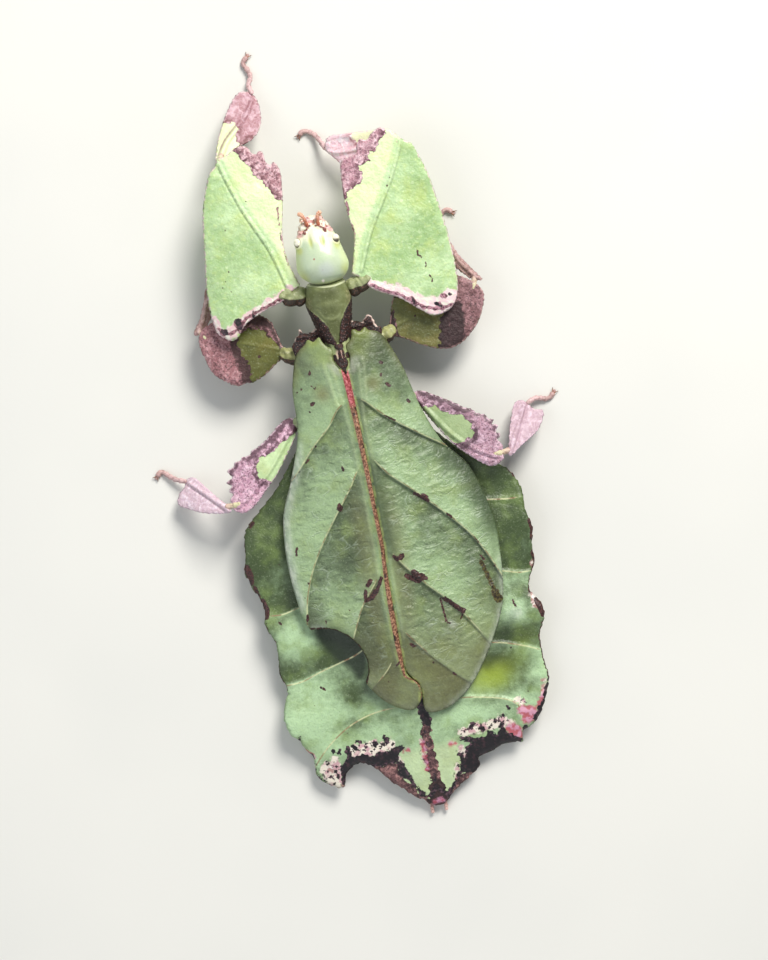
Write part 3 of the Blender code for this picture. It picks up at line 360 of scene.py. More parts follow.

# Each leg's blades have an outline, a raised shaft and the shaft's heights at its ends. A patch
# is a withered outline, and fresh ones are green with the rest withered. Deep, stain, blush,
# speck and blotch marks are (radius, point, ...) strokes. A dish is a pressed-in outline, with
# painted shade round its rim and a painted highlight in its middle.
LEGS = {
    "fore_left": {
        "coxa": ((3.6, -9.3, 9.0), (5.4, -9.5, 9.2), (7.0, -9.8, 9.6), (7.6, -11.2, 10.2)),
        "femur": (
            (4.6, -11.2), (5.6, -14.8), (5.95, -18.5), (5.6, -21.8), (4.8, -25), (4.1, -28.4),
            (3.6, -32), (3.9, -33.6), (4.5, -34.5), (5.2, -34.1), (5.9, -34.8), (6.0, -36.1),
            (6.5, -37.1), (7.3, -36.6), (8.0, -36.9), (8.7, -38.2), (10, -38.7), (11.6, -38.2),
            (13.2, -37.4), (14.6, -37.2), (15.4, -35.9), (16.4, -35.2), (17.6, -33), (19.4, -28),
            (20.8, -20), (21.7, -14.5), (22.0, -9.5), (21.6, -5.8), (20.5, -4.5), (19.1, -3.6),
            (17.7, -4.1), (16.8, -5.3), (15.4, -6.4), (13.4, -7.3), (11.5, -7.9), (9.6, -8.4),
            (8, -9.0), (6.8, -10.0), (5.4, -10.7),
        ),
        "femur_shaft": ((6.9, -11.4), (8.6, -18.5), (12, -27), (14.3, -35), (14.6, -36.8)),
        "femur_z": (10.4, 10.8),
        "femur_patch": (
            ((11.3, -39.3), (10.7, -37), (9.3, -35.2), (8.5, -32.9), (7.0, -30.8), (6.1, -28.7),
             (4.5, -26.9), (2, -26.5), (2, -36), (6, -40)),
        ),
        "femur_stain": (
            (0.3, (21.2, -6.4), (19.4, -4.9), (17.6, -5.5), (16, -6.9), (13.6, -7.9), (11, -8.6),
             (8, -9.5)),
            (0.8, (17.4, -6.4), (17.0, -5.3)), (0.6, (20.4, -5.4)), (0.35, (14.2, -8.2)),
            (0.2, (5.6, -26), (5.9, -22.6)), (0.17, (6.0, -22), (6.2, -19)),
            (0.16, (6.1, -18), (6.0, -15)),
        ),
        "femur_blush": (
            (1.0, (19.6, -4.8), (16.4, -6.6), (13.4, -7.9), (11, -8.7), (8, -9.6), (6.8, -10.4)),
            (0.7, (21.4, -8), (20.8, -5.4)),
        ),
        "femur_blotch": ((0.55, (17.4, -6.9), (17.0, -5.6)), (0.4, (20.5, -5.8), (19.9, -5.1)),
                         (0.28, (14.4, -7.8), (14.1, -7.3))),
        "femur_speck": (
            (0.18, (17, -16.3)), (0.2, (18.7, -13.6)), (0.16, (16, -24)), (0.2, (21.9, -9.8)),
            (0.14, (17.4, -12.6)), (0.14, (12.1, -26.3)), (0.13, (11.1, -28.4)),
            (0.17, (18.0, -14.6)), (0.13, (18.3, -11.8)), (0.12, (9.2, -20.5)),
        ),
        "tibia": (
            (14.8, -36.8), (14.5, -38.6), (13.9, -40.3), (12.4, -43.2), (10.6, -46), (9.2, -47.7),
            (7.8, -48.5), (6.2, -48.2), (5.2, -47.1), (4.8, -45), (5.0, -42.7), (5.8, -40.9),
            (7, -39.7), (8.8, -38.9), (10.8, -38.4), (13.0, -37.0),
        ),
        "tibia_shaft": ((13.8, -37.6), (12.1, -40.0), (9.4, -42.4), (7.4, -44.4), (5.8, -46.9)),
        "tibia_z": (9.4, 2.6),
        "tibia_fresh": (
            ((15.5, -36), (14.6, -39.6), (13.0, -42.8), (11.2, -43.4), (9.8, -42.2), (10.3, -40.2),
             (10.6, -38.0), (12, -36.4)),
        ),
        "tibia_deep": ((0.45, (9.8, -39.0), (7.6, -40.0)), (0.3, (13.6, -40.6), (13.0, -41.2))),
        "tarsus": (
            (5.6, -47.6, 2.4), (6.0, -49.4, 1.3), (5.3, -50.8, 0.7), (5.6, -52.3, SOLE_Z),
            (6.1, -53.6, SOLE_Z), (5.1, -54.7, SOLE_Z),
        ),
    },
    "fore_right": {
        "coxa": ((-3.7, -9.2, 9.0), (-5.5, -9.2, 9.2), (-7.0, -9.6, 9.6), (-7.6, -11.0, 10.2)),
        "femur": (
            (-5.3, -11.2), (-6.3, -14.4), (-7.2, -17.8), (-7.0, -21), (-6.8, -24), (-7.0, -27),
            (-7.3, -30), (-7.6, -31.6), (-8.6, -32.4), (-9.9, -32.5), (-10.9, -33.0),
            (-11.3, -34.3), (-12.1, -35.2), (-13.3, -34.8), (-14.4, -35.8), (-16.0, -36.5),
            (-17.8, -35.8), (-19.2, -34.2), (-20.2, -33.2), (-21.4, -32.3), (-23.2, -26),
            (-24.3, -16), (-24.5, -10), (-24.2, -5.2), (-23.3, -2.4), (-22, -0.9), (-20, -0.2),
            (-18.2, -0.3), (-16.8, -1.4), (-15.4, -2.6), (-14, -3.9), (-12.4, -5.2), (-10.5, -6.2),
            (-9, -7.1), (-7.8, -8.2), (-7.3, -9.4), (-6.2, -10.4),
        ),
        "femur_shaft": ((-7.1, -11.2), (-10.4, -18), (-15.5, -25.8), (-18.6, -31.4),
                        (-19.3, -33.4)),
        "femur_z": (10.4, 10.8),
        "femur_patch": (
            ((-6, -25.0), (-7.2, -25.4), (-8.3, -26.2), (-9.8, -26.9), (-11.1, -27.2),
             (-10.9, -28.7), (-11.0, -30.4), (-12.7, -31), (-13.5, -32.4), (-14.9, -33.1),
             (-15.4, -34.1), (-16.6, -35.2), (-17, -38), (-10, -38), (-5.5, -33)),
        ),
        "femur_stain": (
            (0.3, (-8.4, -8.2), (-10.8, -6.6), (-13.2, -5.4), (-15.2, -3.6), (-17, -2.2),
             (-19.4, -1.2), (-22.4, -1.4)),
            (0.6, (-15.2, -4.0), (-15.5, -3.0)), (0.5, (-19.9, -2.1), (-20.3, -1.2)),
            (0.4, (-20.8, -3.6), (-21.4, -3.1)), (0.2, (-7.4, -26), (-7.0, -22)),
            (0.16, (-7.1, -21.4), (-7.4, -18.2)),
        ),
        "femur_blush": (
            (1.2, (-8.2, -8.4), (-10.6, -7.0), (-12.8, -5.8)),
            (1.7, (-12.8, -5.8), (-15, -3.8), (-17, -2.4), (-20, -1.8), (-22.6, -2.8)),
        ),
        "femur_blotch": ((0.26, (-15.3, -4.1), (-15.6, -3.3)), (0.3, (-19.4, -2.3), (-20.1, -1.7)),
                         (0.2, (-22.2, -3.4))),
        "femur_speck": (
            (0.17, (-18.2, -12.6), (-18, -11.9), (-18.6, -11.4)),
            (0.15, (-19.2, -10.2), (-19, -9.4)),
            (0.16, (-19.3, -7.7), (-19.7, -7.0), (-19.5, -6.4)), (0.2, (-15.2, -25.6)),
            (0.16, (-16, -27)), (0.13, (-18.6, -11.2)), (0.14, (-13.6, -22.6)),
            (0.13, (-18.7, -8.6)), (0.14, (-17.6, -31)),
        ),
        "tibia": (
            (-18.9, -34.6), (-17.4, -35.8), (-15.2, -36.3), (-13, -36.5), (-11, -36.7),
            (-8.6, -36.9), (-7, -37.0), (-6.1, -36.6), (-5.6, -35.6), (-5.4, -34.5), (-6.2, -33.4),
            (-7.2, -32.1), (-8.0, -31.2), (-9.4, -30.9), (-12, -31.2), (-14.4, -31.8),
            (-16.8, -32.6), (-18.8, -33.2),
        ),
        "tibia_shaft": ((-18.2, -34.2), (-12, -33.6), (-8, -33.6), (-5.7, -34.2)),
        "tibia_z": (9.4, 3.6),
        "tibia_fresh": (((-18, -37.5), (-11.6, -37.6), (-10.9, -35.6), (-13, -33.6),
                         (-18.5, -33)),),
        "tibia_dish": (
            ((-6.1, -35.7), (-7.0, -36.4), (-8.9, -36.4), (-10.3, -36.0), (-10.9, -35.0),
             (-10.2, -34.4), (-8.5, -34.2), (-6.9, -34.6)),
        ),
        "tarsus": (
            (-5.5, -34.6, 2.8), (-4.9, -36.3, 1.8), (-4.1, -37.7, 0.9), (-3.0, -38.6, SOLE_Z),
            (-1.9, -38.8, SOLE_Z), (-1.2, -38.2, SOLE_Z),
        ),
    },
    "mid_left": {
        "coxa": ((6.9, 1.8, 7.2), (8.6, 1.3, 7.2), (9.8, 0.6, 6.9), (10.9, 0, 6.7)),
        "femur": (
            (10.2, 1.2), (9.9, 0.1), (10.3, -0.9), (10.7, -3.2), (11.3, -5.5), (12.3, -6.7),
            (13.7, -7.5), (16, -7.9), (18.5, -8), (20.6, -8.1), (22.5, -7.6), (24.2, -6.9),
            (25.2, -5.2), (25.2, -3.4), (24.8, -1.5), (24.4, 0.4), (23.6, 2), (22.2, 3.3),
            (21.0, 4.3), (19.5, 4.9), (18.3, 4.6), (17.2, 4.8), (15.4, 4.3), (13.6, 3.4),
            (12.2, 2.4),
        ),
        "femur_shaft": ((10.9, -0.2), (17, -2.6), (24.2, -4.9)),
        "femur_z": (6.6, 6.4),
        "femur_fresh": (
            ((18.3, -3), (17.5, -4.1), (16.5, -5), (14.5, -5), (12.5, -3.5), (11.2, -1.2),
             (10.9, 1.0), (13, 2.7), (15, 4.4), (17.2, 5.2), (17.0, 2.8), (17.2, 1), (17.8, -0.5)),
        ),
        "femur_speck": ((0.3, (14.8, 0.3)),),
        "femur_deep": (
            (0.9, (10.2, -0.5), (11.1, -4.4), (13.0, -6.4), (16.2, -6.6), (19, -5.4)),
            (0.5, (14, -7.4), (18, -7.8)), (1.1, (18.6, -3), (18.2, 0.3), (17.8, 2.4), (17.9, 4.4)),
            (0.5, (10.8, -1.6), (11.2, 1.4)),
        ),
        "tibia": (
            (25.8, -6.2), (25.3, -7.4), (24.2, -8.8), (23.4, -10.4), (22.6, -12.2), (22.2, -13.6),
            (21.4, -14.4), (20.4, -13.9), (20.1, -12.4), (20.6, -10.6), (21.4, -9.3), (22.4, -8.2),
            (23.2, -7.2), (24.4, -6.1),
        ),
        "tibia_shaft": ((25, -6.2), (23.2, -9.6), (21, -13.8)),
        "tibia_z": (5.8, 2.4),
        "tarsus": (
            (20.8, -14.3, 2.0), (20.2, -15.6, 1.2), (19.6, -17.0, 0.65), (19.0, -18.4, SOLE_Z),
            (18.7, -19.6, SOLE_Z), (18.1, -20.7, SOLE_Z),
        ),
    },
    "mid_right": {
        "coxa": ((-6.9, 1.7, 7.2), (-8.6, 1.3, 7.2), (-9.8, 0.8, 6.9), (-11, 0.3, 6.7)),
        "femur": (
            (-10.2, 1.7), (-9.9, 0.4), (-10.3, -0.9), (-10.9, -2.8), (-11.6, -4.7), (-12.6, -5.9),
            (-14.2, -6.7), (-17, -7.3), (-20, -7.5), (-22.6, -7.2), (-24.8, -6.4), (-26.8, -5.0),
            (-28, -3.6), (-28.5, -2.2), (-28.2, -0.8), (-27.4, 1.0), (-26.2, 2.9), (-24.6, 4.4),
            (-23, 5.6), (-21.4, 6.2), (-20, 6.4), (-18, 6.0), (-16, 5.1), (-14.2, 4.1),
            (-12.4, 2.9),
        ),
        "femur_shaft": ((-10.9, 0.2), (-19, -1.8), (-27.2, -3.2)),
        "femur_z": (6.6, 6.4),
        "femur_fresh": (
            ((-11.2, -3.6), (-11.6, 2.4), (-13.4, 3.9), (-16, 5.4), (-18.2, 6.3), (-18.4, 4),
             (-19.2, 1.6), (-20.2, -0.6), (-19.6, -3), (-18, -5.2), (-14.5, -6), (-12.4, -5)),
        ),
        "femur_speck": ((0.2, (-15.1, -0.9)),),
        "femur_deep": (
            (0.7, (-10.3, 0.6), (-10.6, -1.8), (-11.4, -4.2), (-13.2, -6.2)),
            (1.4, (-20.8, -1.6), (-20.1, 1.6), (-19.3, 5.4)),
            (1.6, (-22.4, -0.6), (-22.3, 2.4), (-21.6, 4.8)),
        ),
        "tibia": (
            (-28.7, -4.8), (-28.3, -5.8), (-27.6, -6.8), (-26.1, -9.2), (-25.2, -10.8),
            (-24.7, -12.4), (-23.9, -13.8), (-23.0, -13.9), (-22.3, -13.1), (-22.4, -11.8),
            (-22.9, -10.4), (-24.2, -8.2), (-25.6, -6.6), (-27, -5.2),
        ),
        "tibia_shaft": ((-27.9, -5.2), (-25.4, -9), (-23.1, -13.2)),
        "tibia_z": (5.8, 2.4),
        "tarsus": (
            (-22.9, -13.8, 2.0), (-22.8, -15.4, 1.2), (-23.1, -16.9, 0.65), (-23.9, -18.4, SOLE_Z),
            (-25.0, -18.9, SOLE_Z), (-26.0, -18.2, SOLE_Z),
        ),
    },
    "hind_left": {
        "coxa": ((5.6, 10.6, 7.4), (7.4, 11.6, 7.7), (9.6, 13.1, 7.9), (11.3, 14.3, 8.0)),
        "femur": (
            (10.4, 13.6), (11.2, 12.8), (12.5, 12.7), (14, 13.5), (15.5, 14.6), (17.6, 16.1),
            (20, 17.2), (20.8, 17.9), (22.0, 17.9), (22.4, 18.4), (23.6, 18.6), (23.9, 19.3),
            (25.2, 19.8), (24.9, 20.6), (24.6, 21.3), (25.9, 22.0), (25.1, 22.7), (25.7, 23.6),
            (25.1, 24.3), (25.8, 25.2), (25.6, 26.3), (25.7, 27.0), (24.5, 28), (23, 28.0),
            (21.2, 27.0), (19, 25), (16, 22.2), (13.5, 19), (12, 17.2), (11, 15.5),
        ),
        "femur_shaft": ((11.4, 14.4), (17, 21), (21, 24.6), (24.6, 26.8)),
        "femur_z": (8.0, 8.8),
        "femur_fresh": (
            ((10.4, 15), (11.4, 15.2), (13.2, 16.4), (15, 17), (16.6, 18.2), (18.8, 18.8),
             (19.6, 19.8), (19.8, 20.8), (19.9, 21.8), (19.3, 22.5), (18, 23.2), (16.8, 23.6),
             (14, 21), (11, 17.4)),
        ),
        "femur_deep": (
            (0.9, (12.4, 12.8), (14.4, 14.0), (16.4, 15.6), (18.6, 16.9), (20.6, 17.9)),
            (0.45, (20.6, 18.1), (23, 18.8), (24.8, 20.2), (25.4, 23)),
            (0.4, (17.4, 24), (19.8, 23.6), (20.5, 21.4)), (0.4, (11.8, 13.4), (11.6, 14.6)),
        ),
        "tibia": (
            (26.4, 26.4), (26.8, 25.6), (27.6, 24.8), (28.6, 23.4), (29.8, 21.8), (31.1, 20.0),
            (31.9, 19.5), (32.8, 19.7), (33.4, 20.6), (33.8, 21.2), (34.6, 21.8), (35.1, 22.5),
            (35.5, 23.5), (35.2, 24.3), (33.8, 25.2), (31.5, 26.4), (29, 27.1), (26.8, 27.5),
            (26.1, 27.2),
        ),
        "tibia_shaft": ((26.6, 26.8), (29.6, 23.6), (32.8, 20.3)),
        "tibia_z": (8.4, 2.3),
        "tarsus": (
            (32.9, 20.2, 2.1), (34.7, 19.4, 1.2), (35.9, 18.5, 0.65), (36.8, 17.6, SOLE_Z),
            (37.5, 17.4, SOLE_Z), (38.2, 18.1, SOLE_Z),
        ),
    },
    "hind_right": {
        "coxa": ((-5.6, 10.6, 7.4), (-7.6, 11.7, 7.7), (-10.0, 13.1, 7.9), (-12, 14.4, 8.0)),
        "femur": (
            (-11.4, 13.8), (-12.0, 12.9), (-13.2, 12.9), (-14.8, 13.8), (-16.5, 14.9),
            (-18.6, 16.3), (-20.5, 17.8), (-21.6, 18.2), (-22.4, 19.2), (-24, 19.9), (-24.2, 20.7),
            (-25.2, 21.0), (-24.8, 21.8), (-26.0, 22.4), (-25.2, 23.2), (-25.9, 24.1),
            (-25.2, 24.9), (-25.8, 26), (-25.7, 27.2), (-25.6, 28.4), (-24.9, 29), (-23.8, 29.5),
            (-22.5, 29.3), (-20.4, 27.6), (-18, 25.2), (-15.6, 21.8), (-13.5, 18), (-12.4, 15.8),
        ),
        "femur_shaft": ((-12.2, 14.6), (-17, 22), (-20.6, 25.6), (-24.4, 28)),
        "femur_z": (8.0, 8.8),
        "femur_fresh": (
            ((-11.4, 15.4), (-12.5, 15.7), (-15, 16.5), (-17.5, 18.3), (-19.0, 18.8),
             (-19.8, 19.8), (-20.8, 20.6), (-21, 22.5), (-20.5, 23.5), (-19.4, 23.4), (-18.5, 24),
             (-17, 23.9), (-14, 20)),
        ),
        "femur_deep": (
            (0.9, (-13.2, 13.0), (-15.2, 14.1), (-18, 16.0), (-20.4, 17.8)),
            (0.45, (-20.8, 18.2), (-23.4, 19.6), (-25, 21.4), (-25.6, 24)),
            (0.4, (-18.4, 24.9), (-21.0, 24.3), (-21.7, 22)),
        ),
        "femur_blush": ((0.6, (-20.4, 27.2), (-22.4, 28.8)),),
        "tibia": (
            (-26.4, 27.8), (-26.8, 26.6), (-27.3, 25), (-28, 22.6), (-28.6, 21), (-29.2, 19.7),
            (-29.9, 18.8), (-30.8, 18.6), (-31.6, 19.0), (-32.1, 19.6), (-33, 20.8), (-34.0, 21.0),
            (-34.6, 21.5), (-34.4, 22.6), (-33, 24.6), (-31, 26.0), (-29, 27.1), (-27, 28.4),
        ),
        "tibia_shaft": ((-26.7, 27.9), (-29.2, 23.6), (-31.4, 19.6)),
        "tibia_z": (8.4, 2.3),
        "tarsus": (
            (-31.8, 19.5, 2.1), (-33.5, 18.9, 1.2), (-34.7, 19.1, 0.65), (-35.7, 19.4, SOLE_Z),
            (-36.5, 19.2, SOLE_Z), (-37.2, 18.5, SOLE_Z),
        ),
    },
}
# Half width and rise of the raised shaft along each pair's femora, and along a tibia.
SHAFTS = {"fore": (0.40, 0.30), "mid": (0.45, 0.08), "hind": (0.55, 0.32), "tibia": (0.55, 0.45)}
COXA_RADIUS = 1.0
TARSUS_RADIUS = 0.52
TARSUS_JOINTS = (0.0, 0.26, 0.42, 0.56, 0.70, 1.0)

# Head: (y, half width), (y, half height) and (y, mid height) stations of an egg.
HEAD_ENDS = (-10.1, -23.2)
HEAD_HALF_WIDTH = (
    (-23.2, 3.9), (-21.5, 3.85), (-19.5, 3.9), (-17, 4.2), (-15, 4.85), (-13.2, 5.65), (-11.5, 6.2),
    (-9.9, 7.0),
)
HEAD_HALF_HEIGHT = ((-23.2, 2.7), (-21, 3.0), (-17, 3.4), (-13.5, 4.0), (-9.9, 4.6))
HEAD_MID = ((-23.2, 10.8), (-20, 11.4), (-16, 11.9), (-9.9, 11.6))
# (y, x) of its middle line, as the head is turned a little.
HEAD_MIDDLE = ((-23.2, -0.1), (-20, -0.15), (-13, -0.4), (-9.9, -0.75))
HEAD_HALF_LENGTH = 6.65
# Lumps on the head's upper side: (x, y, height, radius).
HEAD_LUMPS = (
    (1.7, -21.3, 0.50, 0.46), (2.3, -21.6, 0.30, 0.30), (-2.0, -21.15, 0.50, 0.48),
    (-2.7, -21.7, 0.3, 0.3), (2.4, -20.4, 0.34, 0.36), (1.6, -20.4, 0.26, 0.22),
    (-2.7, -20.35, 0.36, 0.40), (-2.0, -20.3, 0.24, 0.22), (-1.9, -22.3, 0.40, 0.36),
    (-1.3, -20.8, 0.2, 0.2), (0.3, -22.3, 0.36, 0.30), (-0.3, -22.5, 0.26, 0.22),
    (0.2, -10.9, 0.26, 0.22), (1.0, -20.8, 0.2, 0.2), (0.6, -22.8, 0.28, 0.24),
    (2.9, -19.9, 0.2, 0.24), (-3.2, -19.8, 0.2, 0.24), (0.15, -21.6, 0.28, 0.3),
)
# Ridges from the middle of the face to the feelers.
HEAD_RIDGES = (
    ((0.2, -21.5), (0.8, -21.0), (1.3, -20.6), (1.75, -20.1)),
    ((-0.5, -21.2), (-1.1, -20.9), (-1.7, -20.5), (-2.1, -20.0)),
)
# Pink, dark and small marks: (radius, point, ...) strokes.
HEAD_PINK = (
    (0.5, (2.4, -20.4), (2.6, -19.9)), (0.5, (-2.7, -20.4), (-3.0, -20.1)),
    (0.5, (-1.8, -22.3), (-2.5, -22)), (0.4, (0.35, -22.4), (0.6, -22.8)), (0.3, (0.1, -22.0)),
    (0.3, (2.2, -22.1)), (0.3, (-0.9, -22.4)),
)
HEAD_DOTS = ((0.2, (1.0, -15.2)), (0.12, (-0.2, -12.9)))
# Yellow-green patches: (x, y, reach along x, reach along y, strength).
HEAD_PATCHES = (
    (0.95, -18.5, 0.5, 1.3, 1), (-1.25, -18.3, 0.55, 1.32, 1), (3.3, -17.3, 0.75, 1.05, 1),
    (-3.7, -17.1, 0.75, 1.05, 1),
)
# The granular face: in front of and beside the antennae.
FACE = (
    (3.4, -19.6), (2.4, -20.0), (1.6, -20.4), (0.7, -21.2), (-0.5, -21.3), (-1.6, -20.6),
    (-2.4, -20.0), (-3.5, -19.4), (-3.4, -21.6), (-2.2, -23.0), (0, -23.4), (2.2, -23.1),
    (3.3, -21.8),
)
HEAD_GRANULES = (
    (0.17, (0.45, -21.3), (1.0, -20.85), (1.4, -20.5)), (0.3, (1.65, -20.2), (1.5, -20.6)),
    (0.15, (-0.6, -21.15), (-1.2, -20.85), (-1.7, -20.5)), (0.27, (-1.95, -20.3), (-2.1, -19.9)),
    (0.15, (0.45, -22.6)), (0.2, (-1.9, -22.3)), (0.14, (2.3, -20.2)), (0.14, (-0.5, -22.1)),
    (0.14, (2.6, -20.8)), (0.14, (-2.5, -20.6)), (0.12, (1.1, -22.4)),
)
EYES = {"eye_left": (3.3, -18.7, 13.05), "eye_right": (-3.7, -18.2, 13.4)}
EYE_HALF = (0.78, 0.88, 0.8)
ANTENNAE = {
    "antenna_left": (
        (0.95, -21.5, 12.9), (1.05, -22.2, 13.4), (1.3, -23.1, 13.65), (1.65, -23.75, 13.7),
        (2.25, -24.15, 13.7),
    ),
    "antenna_right": (
        (-1.1, -21.1, 13.1), (-1.2, -21.9, 13.6), (-1.3, -22.8, 13.8), (-1.6, -23.35, 13.85),
        (-2.25, -23.5, 13.8),
    ),
}
ANTENNA_JOINTS = (0, 0.26, 0.36, 0.47, 0.58, 0.69, 0.80, 0.90, 1.0)
ANTENNA_RADIUS = ((0, 0.44), (0.12, 0.36), (0.55, 0.31), (0.72, 0.37), (0.88, 0.43), (1, 0.34))
MOUTH = (0.0, -20.9, 7.95)
CERCI = {
    "cercus_left": ((1.3, 87.8, 1.1), (1.4, 89.0, 0.9), (1.5, 90.2, 0.7)),
    "cercus_right": ((-1.2, 87.8, 1.1), (-1.2, 89.0, 0.9), (-1.1, 90.2, 0.7)),
}

# Pronotum: (y, half width) and (y, crown height) stations, and its raised rim in front.
PRONOTUM_HALF = (
    (-11.1, 3.3), (-10.3, 3.7), (-9.2, 4.1), (-8, 4.35), (-7, 4.4), (-5.8, 4.2), (-4.6, 3.95),
    (-3.0, 3.65), (-1.4, 3.25), (0, 2.85), (0.7, 2.45), (1.2, 1.8), (1.7, 1.0),
)
PRONOTUM_CROWN = (
    (-11, 12.9), (-9.6, 13.6), (-7.4, 13.6), (-5.2, 13.3), (-3.6, 13.0), (-2, 12.8), (2, 12.7),
)
COLLAR = ((3.9, -11.0), (2.2, -10.35), (0.6, -9.85), (-0.9, -9.65), (-2.4, -9.7), (-3.75, -10.05))
PRONOTUM_RIM_Z = 8.2
THORAX_BELLY = 6.4
SHOULDER_Z = 9.6
SCUTELLUM_Z = 12.9
METATHORAX = ((9.1, 6.4), (11.2, 6.8), (13.8, 6.2))  # (y, half width) stations
METATHORAX_Z = 7.8
METATHORAX_HALF = 2.8  # half its height

# Colours are display values of 0 to 255. A leaf-like finish takes (dark, light, warm) greens
# and the (deep, main, pale) tones of withered patches.
COVER_COLOURS = (
    ((76, 90, 62), (150, 174, 130), (132, 150, 88)), ((44, 34, 18), (84, 76, 36), (170, 150, 110)),
)
ABDOMEN_COLOURS = (
    ((62, 78, 42), (172, 200, 156), (122, 144, 78)), ((38, 18, 18), (98, 64, 66), (162, 118, 114)),
)
LEG_COLOURS = {
    "fore_left": {
        "green": ((146, 178, 116), (200, 224, 176), (190, 206, 122)),
        "dead": ((78, 40, 46), (166, 118, 126), (228, 190, 196)),
        # These shin tones are partly their own colour and partly painted shade, darker than on the
        # right.
        "shin": ((188, 198, 146), (222, 228, 188), (206, 204, 146)),
        "dead_shin": ((112, 62, 66), (166, 120, 128), (204, 170, 180)),
    },
    "fore_right": {
        "green": ((146, 178, 116), (200, 224, 176), (190, 206, 122)),
        "dead": ((86, 46, 58), (180, 132, 144), (238, 202, 210)),
        # These shin tones are partly their own colour and partly painted light, lighter than on the
        # left.
        "shin": ((222, 224, 180), (244, 244, 214), (230, 222, 172)),
        "dead_shin": ((176, 116, 118), (234, 194, 204), (252, 238, 244)),
    },
    "mid_left": {
        "green": ((66, 66, 20), (104, 106, 44), (118, 108, 44)),
        "dead": ((52, 26, 24), (148, 98, 102), (192, 146, 150)),
        "shin": ((150, 132, 104), (194, 176, 150), (174, 148, 114)),
        "dead_shin": ((86, 54, 48), (156, 120, 116), (208, 178, 172)),
    },
    "mid_right": {
        "green": ((72, 72, 32), (116, 118, 64), (128, 118, 60)),
        "dead": ((34, 14, 15), (118, 80, 82), (170, 126, 130)),
        "shin": ((140, 120, 96), (184, 164, 138), (166, 140, 108)),
        "dead_shin": ((72, 44, 40), (142, 108, 104), (196, 160, 156)),
    },
    "hind_left": {
        "green": ((150, 178, 122), (198, 218, 170), (190, 200, 134)),
        "dead": ((84, 52, 66), (190, 144, 164), (226, 190, 206)),
        "shin": ((206, 182, 192), (230, 212, 222), (222, 206, 202)),
        "dead_shin": ((150, 114, 130), (204, 176, 188), (230, 212, 222)),
    },
    "hind_right": {
        "green": ((114, 138, 86), (158, 176, 130), (158, 166, 102)),
        "dead": ((78, 50, 62), (170, 130, 146), (212, 178, 194)),
        "shin": ((186, 160, 172), (214, 190, 202), (206, 186, 184)),
        "dead_shin": ((136, 100, 116), (180, 150, 162), (212, 188, 200)),
    },
}
RIM_COLOURS = {"fore": (232, 204, 206), "mid": (188, 148, 148), "hind": (222, 192, 204)}
# Leg roots: (light, dark) greens.
COXA_COLOURS = {
    "fore": ((156, 164, 118), (122, 130, 80)),
    "mid": ((158, 160, 104), (112, 114, 66)),
    "hind": ((168, 182, 136), (130, 146, 96)),
}
# Jointed limbs: base, tip, dark mottles and pale flecks.
SEGMENT_COLOURS = {
    "foot_cuticle": ((206, 172, 172), (186, 150, 146), (134, 98, 96), (232, 214, 208)),
    "knee_cuticle": ((204, 204, 158), (204, 172, 158), (150, 110, 96), (236, 226, 206)),
    "claw_horn": ((170, 120, 96), (66, 36, 28), (96, 60, 48), (196, 150, 126)),
    "antenna_cuticle": ((182, 96, 68), (234, 182, 152), (142, 66, 46), (226, 170, 140)),
    "mouth_cuticle": ((222, 222, 190), (214, 176, 156), (178, 146, 112), (240, 236, 214)),
    "cercus_cuticle": ((190, 140, 132), (214, 176, 166), (120, 72, 66), (232, 206, 196)),
}

# Studio, in metres and watts: (name, place, width, power, colour) of each light.
FLOOR_HALF = 1.5
SKY_COLOUR = (0.86, 0.93, 1.0, 1)
SKY_STRENGTH = 0.34
LIGHTS = (
    ("key", (-0.36, -0.50, 0.54), 0.34, 8.8, (1.0, 0.98, 0.93)),
    ("fill", (0.55, 0.05, 0.55), 0.60, 1.5, (0.94, 0.97, 1.0)),
    ("back", (0.05, 0.70, 0.45), 0.50, 1.0, (1.0, 1.0, 1.0)),
)


def place(points):
    """Millimetre points (x, y, z) as metre points over the origin."""
    points = np.asarray(points, float)
    shrink = 1 - (points[:, 2] - PLAN_LEVEL) / VIEW_HEIGHT
    x = VIEW_POINT[0] + (points[:, 0] - VIEW_POINT[0]) * shrink - BOX_CENTRE[0]
    y = VIEW_POINT[1] + (points[:, 1] - VIEW_POINT[1]) * shrink - BOX_CENTRE[1]
    return np.column_stack((x, y, points[:, 2])) * MM


def through(stations, at):
    """A smooth value at each place, through (place, value) stations in rising order."""
    knots, values = np.array(stations, float).T
    slopes = np.gradient(values, knots)
    at = np.clip(at, knots[0], knots[-1])
    i = np.clip(np.searchsorted(knots, at, side="right") - 1, 0, len(knots) - 2)
    width = knots[i + 1] - knots[i]
    t = (at - knots[i]) / width
    start = (1 + 2 * t) * (1 - t) ** 2 * values[i] + t * (1 - t) ** 2 * width * slopes[i]
    end = t * t * (3 - 2 * t) * values[i + 1] - t * t * (1 - t) * width * slopes[i + 1]
    return start + end


def ease(low, high, value):
    """0 below low, 1 above high, smooth between."""
    t = np.clip((value - low) / (high - low), 0, 1)
    return t * t * (3 - 2 * t)


def swell(distance, width):
    """A smooth hump that is 1 at no distance."""
    return np.exp(-((distance / width) ** 2))


def oval(x, y, middle_x, middle_y, reach_x, reach_y):
    """A smooth hump over a plan that is 1 at its middle."""
    return swell(np.hypot((x - middle_x) / reach_x, (y - middle_y) / reach_y), 1)


def ovals(spots, x, y):
    """The sum of several (x, y, reach along x, reach along y, height) humps."""
    return sum(height * oval(x, y, *spot) for *spot, height in spots)


